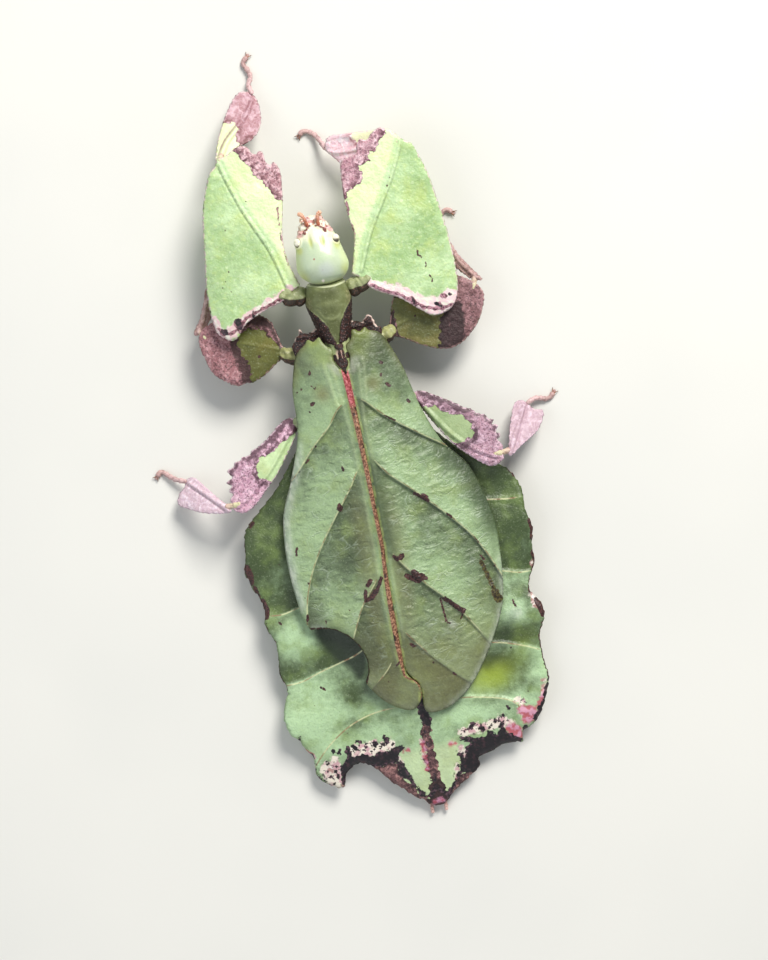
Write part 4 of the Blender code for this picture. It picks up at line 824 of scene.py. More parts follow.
def rough(x, y, size, seed):
    """Smooth random heights from -1 to 1 over a plan, with features of about a size."""
    lattice = np.random.default_rng(seed).uniform(-1, 1, (LATTICE, LATTICE))
    u, v = x / size + LATTICE, y / size + LATTICE
    i, j = np.floor(u).astype(int), np.floor(v).astype(int)
    s, t = ease(0, 1, u - i), ease(0, 1, v - j)
    left, right = i % LATTICE, (i + 1) % LATTICE
    near, far = j % LATTICE, (j + 1) % LATTICE
    low = lattice[left, near] * (1 - s) + lattice[right, near] * s
    high = lattice[left, far] * (1 - s) + lattice[right, far] * s
    return low * (1 - t) + high * t


def curve(points, step, closed=False):
    """Evenly spaced points on a smooth line through the given ones."""
    points = np.array(points, float)
    after = np.roll(points, -1, axis=0) - points
    before = points - np.roll(points, 1, axis=0)
    if not closed:
        after[-1], before[0] = before[-1], after[0]
    reach = np.minimum(np.linalg.norm(after, axis=1), np.linalg.norm(before, axis=1))
    along = before + after
    tangent = along / (np.linalg.norm(along, axis=1) + 1e-9)[:, None] * reach[:, None]
    count = len(points) if closed else len(points) - 1
    t = np.linspace(0, 1, CURVE_STEPS, endpoint=False)[:, None]
    fine = []
    for k in range(count):
        n = (k + 1) % len(points)
        fine.append(
            (1 + 2 * t) * (1 - t) ** 2 * points[k] + t * (1 - t) ** 2 * tangent[k]
            + t * t * (3 - 2 * t) * points[n] - t * t * (1 - t) * tangent[n]
        )
    fine = np.vstack(fine + [points[:1] if closed else points[-1:]])
    far = np.concatenate(([0], np.cumsum(np.linalg.norm(np.diff(fine, axis=0), axis=1))))
    at = np.linspace(0, far[-1], max(2, math.ceil(far[-1] / step)) + 1)
    at = at[:-1] if closed else at
    return np.column_stack([np.interp(at, far, fine[:, k]) for k in range(points.shape[1])])


def nearest(path, x, y):
    """Distance to a plan path, the share of its length there, and the side as a sign."""
    path = np.array(path, float)[:, :2]
    lengths = np.linalg.norm(np.diff(path, axis=0), axis=1)
    starts = np.concatenate(([0], np.cumsum(lengths)))
    best = np.full(np.shape(x), np.inf)
    share = np.zeros(np.shape(x))
    side = np.zeros(np.shape(x))
    for i, length in enumerate(lengths):
        a, d = path[i], (path[i + 1] - path[i]) / length
        t = np.clip((x - a[0]) * d[0] + (y - a[1]) * d[1], 0, length)
        gap = (x - a[0] - t * d[0]) ** 2 + (y - a[1] - t * d[1]) ** 2
        closer = gap < best
        share = np.where(closer, (starts[i] + t) / starts[-1], share)
        side = np.where(closer, np.sign(d[0] * (y - a[1]) - d[1] * (x - a[0])), side)
        best = np.minimum(gap, best)
    return np.sqrt(best), share, side


def away(path, x, y):
    """Distance to a plan path of one or more points."""
    if len(path) == 1:
        return np.hypot(x - path[0][0], y - path[0][1])
    return nearest(path, x, y)[0]


def inside(loop, x, y):
    """Whether points lie inside a closed plan outline."""
    odd = np.zeros(np.shape(x), bool)
    for a, b in zip(loop, np.roll(loop, -1, axis=0)):
        if a[1] != b[1]:
            crosses = (a[1] > y) != (b[1] > y)
            odd ^= crosses & (x < a[0] + (y - a[1]) * (b[0] - a[0]) / (b[1] - a[1]))
    return odd


def strokes(marks, x, y):
    """How deep points lie within the nearest of several (radius, point, ...) strokes."""
    depth = np.full(np.shape(x), NOWHERE)
    for radius, *path in marks:
        depth = np.maximum(depth, radius - away(path, x, y))
    return depth


def patches(outlines, x, y):
    """How deep points lie within the nearest of several closed outlines."""
    depth = np.full(np.shape(x), NOWHERE)
    for outline in outlines:
        loop = curve(outline, 0.5, closed=True)
        distance = nearest(np.vstack((loop, loop[:1])), x, y)[0]
        depth = np.maximum(depth, np.where(inside(loop, x, y), distance, -distance))
    return depth


def serrate(loop, depth, pitch, seed, where=None):
    """An outline with small uneven teeth, leaning one way, as far as where() allows."""
    along = np.roll(loop, -1, axis=0) - np.roll(loop, 1, axis=0)
    along /= np.linalg.norm(along, axis=1)[:, None]
    outward = np.column_stack((along[:, 1], -along[:, 0]))
    if np.sum(loop[:, 0] * np.roll(loop[:, 1], -1) - loop[:, 1] * np.roll(loop[:, 0], -1)) < 0:
        outward = -outward
    far = np.cumsum(np.linalg.norm(loop - np.roll(loop, 1, axis=0), axis=1))
    phase = far / pitch + 0.7 * rough(far, far * 0, 2.3 * pitch, seed)
    tooth = phase % 1 - 0.5
    size = 0.55 + 0.45 * rough(far, far * 0 + 9, 1.7 * pitch, seed + 1)
    amount = 1.0 if where is None else where(loop[:, 0], loop[:, 1])
    return loop + outward * (depth * tooth * size * amount)[:, None]


class Sheet:
    """A filled plan outline: places x and y, distance in from the edge, and triangles.

    The outline's own points come first, and there are rim of them.
    """

    def __init__(self, loop, pitch, lines=()):
        low, high = loop.min(axis=0), loop.max(axis=0)
        rows = np.arange(low[1], high[1], pitch * math.sqrt(0.75))
        columns = np.arange(low[0], high[0] + pitch, pitch)
        y = np.repeat(rows, len(columns))
        x = np.tile(columns, len(rows))
        x = x - np.repeat(np.arange(len(rows)) % 2, len(columns)) * pitch / 2
        within = inside(loop, x, y)
        x, y = x[within], y[within]
        for line in lines:
            clear = nearest(line, x, y)[0] > 0.55 * pitch
            x, y = x[clear], y[clear]
        if len(lines):
            every = np.vstack(lines)
            every = every[inside(loop, every[:, 0], every[:, 1])]
            x, y = np.concatenate((x, every[:, 0])), np.concatenate((y, every[:, 1]))
        gap = nearest(np.vstack((loop, loop[:1])), x, y)[0]
        clear = gap > 0.5 * pitch
        points = np.vstack((loop, np.column_stack((x[clear], y[clear]))))
        self.rim = len(loop)
        self.edge = np.concatenate((np.zeros(self.rim), gap[clear]))
        self.x, self.y = points.T
        flat = [Vector(p) for p in points]
        found = delaunay_2d_cdt(flat, [], [list(range(self.rim))], 1, 1e-6)
        self.faces = np.array(found[2])

    def closed(self, top, bottom):
        """Points and faces of a body between two surfaces that meet at the outline."""
        rim, count = self.rim, len(self.x)
        top = top.copy()
        top[:rim] = (top[:rim] + bottom[:rim]) / 2
        upper = np.column_stack((self.x, self.y, top))
        lower = np.column_stack((self.x, self.y, bottom))[rim:]
        faces = self.faces[(self.faces >= rim).any(axis=1)]
        under = np.where(faces >= rim, faces + count - rim, faces)[:, ::-1]
        return np.vstack((upper, lower)), np.vstack((faces, under))

    def both(self, values):
        """Values of the outline's points and of both sides."""
        return np.concatenate((values, values[self.rim:]))

    def marks(self, values):
        """Named marks, each one number or one value a point, for both sides."""
        return {name: self.both(np.broadcast_to(value, self.x.shape)) for name, value in values.items()}


def add_piece(name, points, faces, finish, nodes=(), marks=None):
    """A smooth piece of millimetre points that stands for CAD nodes, with named marks."""
    faces = np.asarray(faces)
    used, faces = np.unique(faces, return_inverse=True)
    faces = faces.reshape(-1, 3)
    mesh = bpy.data.meshes.new(name)
    mesh.from_pydata(place(points[used]).tolist(), [], faces.tolist())
    model = bmesh.new()
    model.from_mesh(mesh)
    bmesh.ops.recalc_face_normals(model, faces=model.faces)
    model.to_mesh(mesh)
    model.free()
    mesh.polygons.foreach_set("use_smooth", np.ones(len(mesh.polygons), bool))
    for mark, values in (marks or {}).items():
        layer = mesh.attributes.new(mark, "FLOAT", "POINT")
        layer.data.foreach_set("value", np.asarray(values, np.float32)[used])
    mesh.materials.append(finish)
    piece = bpy.data.objects.new(name, mesh)
    bpy.context.scene.collection.objects.link(piece)
    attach(piece, "root")
    if nodes:
        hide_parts(*nodes)
    return piece


def srgb(colour):
    """A linear colour from display values of 0 to 255. A shader socket stays as it is."""
    if isinstance(colour, bpy.types.NodeSocket):
        return colour
    values = np.array(colour) / 255
    linear = np.where(values <= 0.04045, values / 12.92, ((values + 0.055) / 1.055) ** 2.4)
    return (*linear.tolist(), 1.0)


class Finish:
    """A surface whose colour and relief are built up coat by coat, in millimetres.

    A colour is a shader socket or three display values of 0 to 255.
    """

    def __init__(self, name, roughness, colour, glow=0.0, coat=0.0):
        self.material = bpy.data.materials.new(name)
        self.material.use_nodes = True
        self.tree = self.material.node_tree
        self.shader = self.tree.nodes["Principled BSDF"]
        self.shader.inputs["Subsurface Weight"].default_value = glow
        self.shader.inputs["Subsurface Scale"].default_value = 0.001
        self.shader.inputs["Subsurface Radius"].default_value = (0.9, 1.0, 0.5)
        self.shader.inputs["Coat Weight"].default_value = coat
        self.shader.inputs["Coat Roughness"].default_value = 0.25
        self.colour = colour
        self.roughness = roughness
        self.height = None
        place_node = self.tree.nodes.new("ShaderNodeTexCoord")
        self.here = self.vector("SCALE", place_node.outputs["Object"], scale=1 / MM)

    def set(self, socket, value):
        """Links a socket to another one, or gives it a constant."""
        if isinstance(value, bpy.types.NodeSocket):
            self.tree.links.new(value, socket)
        else:
            socket.default_value = value

    def vector(self, operation, a, b=None, scale=None):
        node = self.tree.nodes.new("ShaderNodeVectorMath")
        node.operation = operation
        self.set(node.inputs[0], a)
        if b is not None:
            self.set(node.inputs[1], (b, b, b) if isinstance(b, float) else b)
        if scale is not None:
            self.set(node.inputs["Scale"], scale)
        return node.outputs["Vector"]

    def math(self, operation, a, b=0.0):
        node = self.tree.nodes.new("ShaderNodeMath")
        node.operation = operation
        self.set(node.inputs[0], a)
        self.set(node.inputs[1], b)
        return node.outputs["Value"]

    def times(self, a, b):
        """The product of two values."""
        return self.math("MULTIPLY", a, b)

    def field(self, name):
        """A named mark of the mesh."""
        node = self.tree.nodes.new("ShaderNodeAttribute")
        node.attribute_name = name
        return node.outputs["Fac"]

    def noise(self, scale, detail=3.0, stretch=(1.0, 1.0, 1.0), warp=0.0):
        """Noise with this many features a millimetre."""
        node = self.tree.nodes.new("ShaderNodeTexNoise")
        self.set(node.inputs["Vector"], self.vector("MULTIPLY", self.here, stretch))
        node.inputs["Scale"].default_value = scale
        node.inputs["Detail"].default_value = detail
        node.inputs["Distortion"].default_value = warp
        return node.outputs["Fac"]

    def cells(self, scale, feature="F1", stretch=(1.0, 1.0, 1.0), shift=0.0):
        """Distance within cells, with this many cells a millimetre."""
        node = self.tree.nodes.new("ShaderNodeTexVoronoi")
        node.feature = feature
        moved = self.vector("ADD", self.vector("MULTIPLY", self.here, stretch), shift)
        self.set(node.inputs["Vector"], moved)
        node.inputs["Scale"].default_value = scale
        return node.outputs["Distance"]

    def step(self, value, low, high, most=1.0):
        """A smooth rise from 0 at low to most at high, or a fall if low is above high."""
        node = self.tree.nodes.new("ShaderNodeMapRange")
        node.interpolation_type = "SMOOTHSTEP"
        self.set(node.inputs["Value"], value)
        ends = (low, high) if low < high else (high, low)
        node.inputs["From Min"].default_value, node.inputs["From Max"].default_value = ends
        node.inputs["To Min"].default_value = 0.0 if low < high else most
        node.inputs["To Max"].default_value = most if low < high else 0.0
        return node.outputs["Result"]

    def stray(self, noise, reach):
        """Noise centred on 0, spread over a reach."""
        return self.times(self.math("SUBTRACT", noise, 0.5), reach)

    def uneven(self, mark, scale, detail):
        """A mark of the mesh with noise added."""
        return self.math("ADD", self.field(mark), self.math("SUBTRACT", self.noise(scale, detail), 0.5))

    def ragged(self, mark, reach, scale, detail=3.0, soft=0.1, most=1.0):
        """1 where a mark is deep, with an edge that noise makes uneven by a reach."""
        stray = self.stray(self.noise(scale, detail), 2 * reach)
        return self.step(self.math("ADD", self.field(mark), stray), -soft, soft, most)

    def mix(self, share, a, b):
        """The colour a where the share is 0, and b where it is 1."""
        node = self.tree.nodes.new("ShaderNodeMix")
        node.data_type = "RGBA"
        self.set(node.inputs["Factor"], share)
        self.set(node.inputs["A"], srgb(a))
        self.set(node.inputs["B"], srgb(b))
        return node.outputs["Result"]

    def blend(self, scale, detail, low, high, a, b):
        """The colour a where noise is low, and b where it is high."""
        return self.mix(self.step(self.noise(scale, detail), low, high), a, b)

    def coat(self, share, colour):
        """Lays a colour over what is there."""
        self.colour = self.mix(share, self.colour, colour)

    def on_mark(self, mark, low, high, most, colour):
        """Lays a colour where a mark of the mesh is high."""
        self.coat(self.step(self.field(mark), low, high, most), colour)

    def on_noise(self, scale, detail, low, high, most, colour):
        """Lays a colour where noise is high."""
        self.coat(self.step(self.noise(scale, detail), low, high, most), colour)

    def dull(self, share, roughness):
        """Moves the roughness toward a value."""
        gap = self.math("SUBTRACT", roughness, self.roughness)
        self.roughness = self.math("ADD", self.roughness, self.times(gap, share))

    def relief(self, value, millimetres):
        """Adds relief this high."""
        raised = self.times(value, millimetres)
        self.height = raised if self.height is None else self.math("ADD", self.height, raised)

    def done(self):
        """The finished material."""
        self.set(self.shader.inputs["Base Color"], srgb(self.colour))
        self.set(self.shader.inputs["Roughness"], self.roughness)
        if self.height is not None:
            bump = self.tree.nodes.new("ShaderNodeBump")
            bump.inputs["Strength"].default_value = 1.0
            bump.inputs["Distance"].default_value = MM
            self.set(bump.inputs["Height"], self.height)
            self.set(self.shader.inputs["Normal"], bump.outputs["Normal"])
        return self.material


def crease_net(look, height):
    """A net of short pale creases with pillows between them, where the wrinkle mark is."""
    bend = look.times(look.noise(0.4, 3.0), 3.0)
    gap = look.cells(0.5, "DISTANCE_TO_EDGE", stretch=(0.55, 1.3, 1.0), shift=bend)
    crease = look.times(look.step(gap, 0.11, 0.0), look.step(look.noise(0.35, 3.0), 0.44, 0.64))
    crease = look.times(crease, look.step(look.field("wrinkle"), 0.0, 1.0))
    look.coat(look.times(crease, 0.24), (194, 208, 188))
    look.relief(crease, 0.09 * height)
    look.relief(look.times(look.step(gap, 0.0, 0.5), look.field("wrinkle")), 0.17 * height)


def wither(look, dead, flecks):
    """Withered patches with pale grain, deep flecks, fine cracks, a dark border; painted shade in
    grooves.
    """
    deep, main, pale = dead
    flush = look.blend(1.1, 3.0, 0.44, 0.6, pale, (232, 222, 214))
    look.coat(look.ragged("blush", 1.0, 0.9, 4.0, soft=0.2, most=0.9), flush)
    withered = look.ragged("patch", 1.3, 0.8, 6.0, soft=0.05)
    grain = look.noise(0.9, 5.0, warp=0.8)
    tone = look.mix(look.step(grain, 0.44, 0.68), main, pale)
    tone = look.mix(look.step(look.noise(2.4, 4.0, warp=1.2), 0.50, 0.62, flecks), tone, deep)
    cracks = look.step(look.cells(1.1, "DISTANCE_TO_EDGE", shift=grain), 0.07, 0.0, 0.45)
    tone = look.mix(cracks, tone, pale)
    border = look.times(look.step(look.field("patch"), 1.5, 0.1), look.step(grain, 0.60, 0.40))
    tone = look.mix(look.times(border, 0.9), tone, deep)
    tone = look.mix(look.ragged("deep", 1.2, 1.1, 4.0, soft=0.35, most=0.9), tone, deep)
    look.coat(withered, tone)
    # Painted shade: darker in the groove beside a tibia's shaft and round a pressed-in dish's rim.
    look.on_mark("groove", 0.0, 1.0, 0.75, look.mix(0.5, deep, main))
    rose = look.blend(0.9, 4.0, 0.44, 0.6, (180, 78, 96), (208, 144, 172))
    look.coat(look.ragged("rose", 0.9, 1.2, 5.0, soft=0.3, most=0.9), rose)
    stained = look.blend(2.4, 3.0, 0.4, 0.6, deep, main)
    look.coat(look.ragged("stain", 0.55, 1.2, 4.0, soft=0.08), stained)
    look.dull(withered, 0.62)
    look.relief(look.times(withered, look.noise(1.6, 4.0)), 0.45 * flecks)


def seam_cord(look):
    """The brown cord along the seam, redder in front, and a dull green beside it."""
    seam = look.field("seam")
    flank = look.times(look.step(seam, -0.6, -0.2), look.step(look.noise(0.6, 2.0), 0.34, 0.56, 0.6))
    look.coat(flank, (150, 160, 90))
    sprinkle = look.noise(2.6, 3.0)
    brown = look.mix(look.step(sprinkle, 0.42, 0.6), (100, 62, 44), (168, 124, 96))
    red = look.mix(look.step(sprinkle, 0.45, 0.62), (140, 54, 58), (198, 112, 116))
    cord = look.mix(look.step(look.field("front"), 0.2, 0.8), brown, red)
    dash = look.step(look.noise(0.8, 2.0, stretch=(1.0, 0.6, 1.0)), 0.58, 0.64)
    look.coat(look.step(seam, -0.08, 0.08), look.mix(dash, cord, (48, 24, 18)))


def leaf_finish(name, greens, dead, wrinkles=0.0, pebbles=0.0, flecks=0.7, rim=None):
    """Leaf-like cuticle between two greens, with withered patches of three tones."""
    dark, light, warm = greens
    look = Finish(name, 0.46, light, glow=0.08, coat=0.08)
    mottle = look.noise(0.9, 4.0)
    share = look.math("ADD", look.field("panel"), look.stray(look.noise(0.13, 2.0), 1.1))
    share = look.math("ADD", share, look.stray(mottle, 0.6))
    look.colour = look.mix(look.step(share, 0.0, 1.0), dark, light)
    look.on_noise(0.24, 4.0, 0.46, 0.72, 0.55, warm)
    fleck = look.noise(3.2, 3.0)
    look.coat(look.step(fleck, 0.55, 0.78, 0.2), (216, 230, 190))
    look.coat(look.step(fleck, 0.46, 0.28, 0.25), dark)
    look.on_mark("amber", 0.0, 1.0, 0.9, (112, 108, 68))
    look.on_mark("yellow", 0.0, 1.0, 0.85, (150, 168, 44))
    look.on_mark("tint", 0.0, 1.0, 0.9, (234, 244, 192))
    # Pale bluish-white patches, also painted sheen on margins and painted highlights on edges and
    # dishes.
    streaks = look.step(look.noise(1.3, 4.0, stretch=(1.0, 0.3, 1.0)), 0.4, 0.65)
    look.on_mark("frost", 0.0, 1.0, 0.9, look.mix(streaks, (164, 176, 160), (208, 212, 200)))
    bleached = look.blend(0.8, 4.0, 0.46, 0.6, (234, 222, 208), (206, 160, 168))
    look.coat(look.ragged("cream", 1.3, 1.1, 5.0, soft=0.25, most=0.92), bleached)
    near_cream = look.step(look.field("cream"), -0.6, 0.4)
    look.coat(look.times(near_cream, look.step(look.noise(1.5, 4.0), 0.57, 0.62)), (42, 28, 34))
    look.on_mark("shade", 0.0, 1.0, 0.97, (27, 42, 18))
    if wrinkles:
        crease_net(look, wrinkles)
    if pebbles:
        grit = look.noise(1.2, 3.0)
        look.coat(look.step(grit, 0.52, 0.68, 0.35 * pebbles), warm)
        look.on_noise(2.0, 2.0, 0.56, 0.68, 0.25 * pebbles, (236, 244, 208))
        look.relief(grit, 0.14 * pebbles)
    vein_tone = look.blend(0.5, 3.0, 0.46, 0.6, (206, 206, 160), (134, 88, 62))
    look.coat(look.times(look.step(look.field("vein"), 0.2, 0.05), 0.7), vein_tone)
    wither(look, dead, flecks)
    if rim is not None:
        dots = look.step(look.noise(1.5, 3.0), 0.42, 0.56)
        look.coat(look.times(look.step(look.field("edge"), 0.34, 0.10, 0.85), dots), rim)
    seam_cord(look)
    blotch = look.ragged("blotch", 0.8, 1.3, 5.0, soft=0.07)
    look.coat(blotch, look.blend(1.1, 4.0, 0.52, 0.7, (18, 12, 17), (56, 34, 40)))
    near_blotch = look.step(look.field("blotch"), 0.7, 0.1)
    singe = look.times(near_blotch, look.step(look.noise(1.8, 4.0), 0.5, 0.62))
    look.coat(look.times(look.times(singe, blotch), 0.6), (112, 78, 92))
    spot = look.blend(3.0, 3.0, 0.4, 0.6, (40, 20, 19), (80, 44, 40))
    look.coat(look.ragged("speck", 0.22, 2.2, soft=0.05), spot)
    look.relief(mottle, 0.16)
    look.relief(look.noise(2.6, 3.0), 0.07)
    look.relief(look.cells(1.3, "DISTANCE_TO_EDGE"), 0.06)
    look.relief(blotch, -0.04)
    return look.done()


def leaf_marks(sheet, **given):
    """Every mark that a leaf-like finish reads, for both sides of a sheet."""
    absent = ("speck", "patch", "deep", "stain", "blush", "seam", "cream", "rose", "blotch")
    clear = ("yellow", "amber", "tint", "frost", "shade", "wrinkle", "front", "groove")
    marks = dict.fromkeys(absent, NOWHERE) | dict.fromkeys(clear, 0.0)
    marks |= {"vein": VEIN_REACH, "panel": 0.5, "edge": sheet.edge}
    return sheet.marks(marks | given)


def shield_marks(sheet, **given):
    """Every mark that a thorax finish reads, for both sides of a sheet."""
    marks = dict.fromkeys(("strip", "collar"), NOWHERE)
    marks |= dict.fromkeys(("side", "grain", "shield", "blush"), 0.0)
    return sheet.marks(marks | given)


def plate(sheet, middle, relief, thickness=PLATE):
    """A thin body round a surface, with relief above and half of it below."""
    share = RIM_THICKNESS / thickness
    half = thickness / 2 * (share + (1 - share) * ease(0, RIM_TAPER, sheet.edge))
    return sheet.closed(middle + relief + half, middle + relief / 2 - half)


def beside(line, offset):
    """A line moved to one side."""
    along = np.gradient(line, axis=0)
    along /= np.linalg.norm(along, axis=1)[:, None]
    return line + np.column_stack((-along[:, 1], along[:, 0])) * offset


def roof(x, y):
    """Height of the middle of the wing covers."""
    rim = through(COVER_RIM, y)
    reach = np.clip(np.abs(x) / through(COVER_HALF, y), 0, 1)
    return rim + (through(CROWN, y) - rim) * (1 - reach**1.5)


def flap_level(x, y):
    """Height of the abdomen's leaf-like flaps, waved toward their edges."""
    edge = ease(12, 24, np.abs(x))
    wave = np.sin(2 * math.pi * y / FLAP_WAVE_LENGTH + np.sign(x))
    return through(FLAP, y) + FLAP_WAVE * edge * wave


def vein_panels(veins, hand, x, y):
    """How far points are from the vein behind to the vein ahead, and how near to a vein."""
    behind = np.full(x.shape, VEIN_REACH)
    ahead = np.full(x.shape, VEIN_REACH)
    line = np.full(x.shape, VEIN_REACH)
    for vein in veins:
        distance, _, side = nearest(vein, x, y)
        past = side * hand > 0
        behind = np.where(past, np.minimum(behind, distance), behind)
        ahead = np.where(past, ahead, np.minimum(ahead, distance))
        line = np.minimum(line, np.abs(distance * np.where(past, 1, -1) + VEIN_ASIDE))
    return behind / (behind + ahead), line


def cover_tones(cover, hand, x, y):
    """A wing cover's share of light green, and its painted shade, over the plan."""
    tone = 0.5 - 0.12 * ease(44, 62, y) - 0.12 * ease(61, 67, y) + ovals(cover["tones"], x, y)
    dusk = 0.3 * (1 - ease(3, 8, y)) * ease(5.5, 8, np.abs(x)) + ovals(cover["dusk"], x, y)
    if hand > 0:
        tone += 0.1 - 0.2 * (1 - ease(5, 11, y))
        tone += 0.24 * ease(5, 9, x) * ease(15, 21, y) * (1 - ease(37, 43, y))
    else:
        tone -= 0.22 * (1 - ease(12, 20, y)) + 0.26 * (1 - ease(5, 10, y))
        dusk += 0.2 * (1 - ease(13, 17, y))
    return tone, dusk


def make_cover(name, cover, finish):
    """A wing cover: sloping panels between veins, and a beaded cord along the seam."""
    hand = 1 if name.endswith("left") else -1
    left, right = hand > 0, hand < 0
    loop = curve(cover["outline"], 0.3, closed=True)
    veins = [curve(vein, 0.3) for vein in cover["veins"]]
    rails = [beside(vein, offset) for vein in veins for offset in (-VEIN_HALF, VEIN_HALF)]
    sheet = Sheet(loop, 0.33, rails)
    x, y, edge = sheet.x, sheet.y, sheet.edge
    panel, line = vein_panels(veins, hand, x, y)
    from_seam = nearest(MIDLINE, x, y)[0]
    seam = through(MIDLINE_HALF, y) - from_seam
    cord = np.min([away(path, x, y) for path in cover["cords"]], axis=0)
    spread = ease(0.9, 3.2, from_seam)
    outer = ease(3, 7, np.abs(x))
    fold = rough(0.7 * x, 1.2 * (y + 0.25 * np.abs(x)), 1.9, 11)
    wrinkle = spread * ease(13, 20, y) * ease(0.8, 3, edge) * (1 - 0.6 * ease(55, 66, y))
    relief = VEIN_STEP * (panel - 0.5) * spread * (1 - 0.6 * ease(54, 62, y))
    relief += 0.10 * swell(line, 0.22) * spread
    relief += 0.20 * swell(cord, 0.42)
    relief += 0.10 * fold * wrinkle + 0.05 * rough(x, y, 0.8, 12) + 0.12 * rough(x, y, 3.5, 13)
    relief += 0.26 * ease(-0.25, 0.12, seam) * (1 + 0.3 * rough(x, y, 0.5, 14))
    relief -= 0.18 * outer * (1 - ease(0, 1.4, edge))
    relief += (0.28 if left else -0.22) * (1 - ease(0, 2.4, from_seam))

    tone, dusk = cover_tones(cover, hand, x, y)
    # Pale patches and painted highlights from the outlines, and painted sheen along margins and tips.
    frost_and_glint = ease(-0.8, 0.5, patches(cover["frost"], x, y))
    edge_frosts = (
        0.7 * left * outer * ease(14, 22, y) * (1 - ease(46, 51, y)) * (1 - ease(0.1, 2.6, edge)),
        0.18 * ease(61, 64, y) * (1 - ease(0.3, 2.6, edge)) * ease(0.6, 1.6, from_seam),
        0.45 * right * ease(43, 48, y) * (1 - ease(0.1, 1.8, edge)) * outer,
    )
    ambers = (
        0.7 * oval(x, y, hand * 4.8, 9.7, 1.9, 1.9),
        0.6 * ease(42, 66, y),
        0.5 * frost_and_glint * (y < 20),
        0.5 * ease(0.6, 2, from_seam) * (1 - ease(3, 7, from_seam)) * ease(20, 36, y),
        0.55 * (1 - ease(0, 2.4, edge)) * (1 - ease(4, 14, y)),
        0.3 * (1 - ease(3, 9, y)),
    )
    rear_edge_shade = right * (1 - ease(0.4, 6, edge)) * ease(19, 27, y) * (1 - ease(38, 48, y))
    marks = leaf_marks(
        sheet,
        # Painted shade: darker just behind each vein's step and lighter toward the next vein.
        panel=tone + 0.9 * (panel - 0.42) * (0.25 + 0.75 * spread),
        vein=np.where(spread > 0.3, line + 0.25 * ease(58, 62, y) * ease(4, 7, from_seam), VEIN_REACH),
        tint=0.22 * swell(cord, 0.5),
        frost=np.max([*edge_frosts, 0.4 * frost_and_glint], axis=0),
        amber=np.max(ambers, axis=0),
        wrinkle=wrinkle,
        seam=np.where(y > 5.6, seam, NOWHERE),
        front=1 - ease(11, 15, y),
        speck=strokes((*cover["specks"], (0.2, *cover["dark_edge"])), x, y),
        stain=strokes(cover.get("stain", ()), x, y),
        shade=dusk + 0.72 * rear_edge_shade,
        yellow=0.22 * oval(x, y, hand * 3, 3.4, 1.8, 1.8) + 0.4 * oval(x, y, hand * 4.5, 0, 2.2, 2.2),
    )
    droop = 0.3 * ease(56, 64, y) * (1 - ease(0, 2.6, edge)) * ease(0.6, 2, from_seam)
    points, faces = plate(sheet, roof(x, y) - droop, relief)
    add_piece(name, points, faces, finish, (name,), marks)


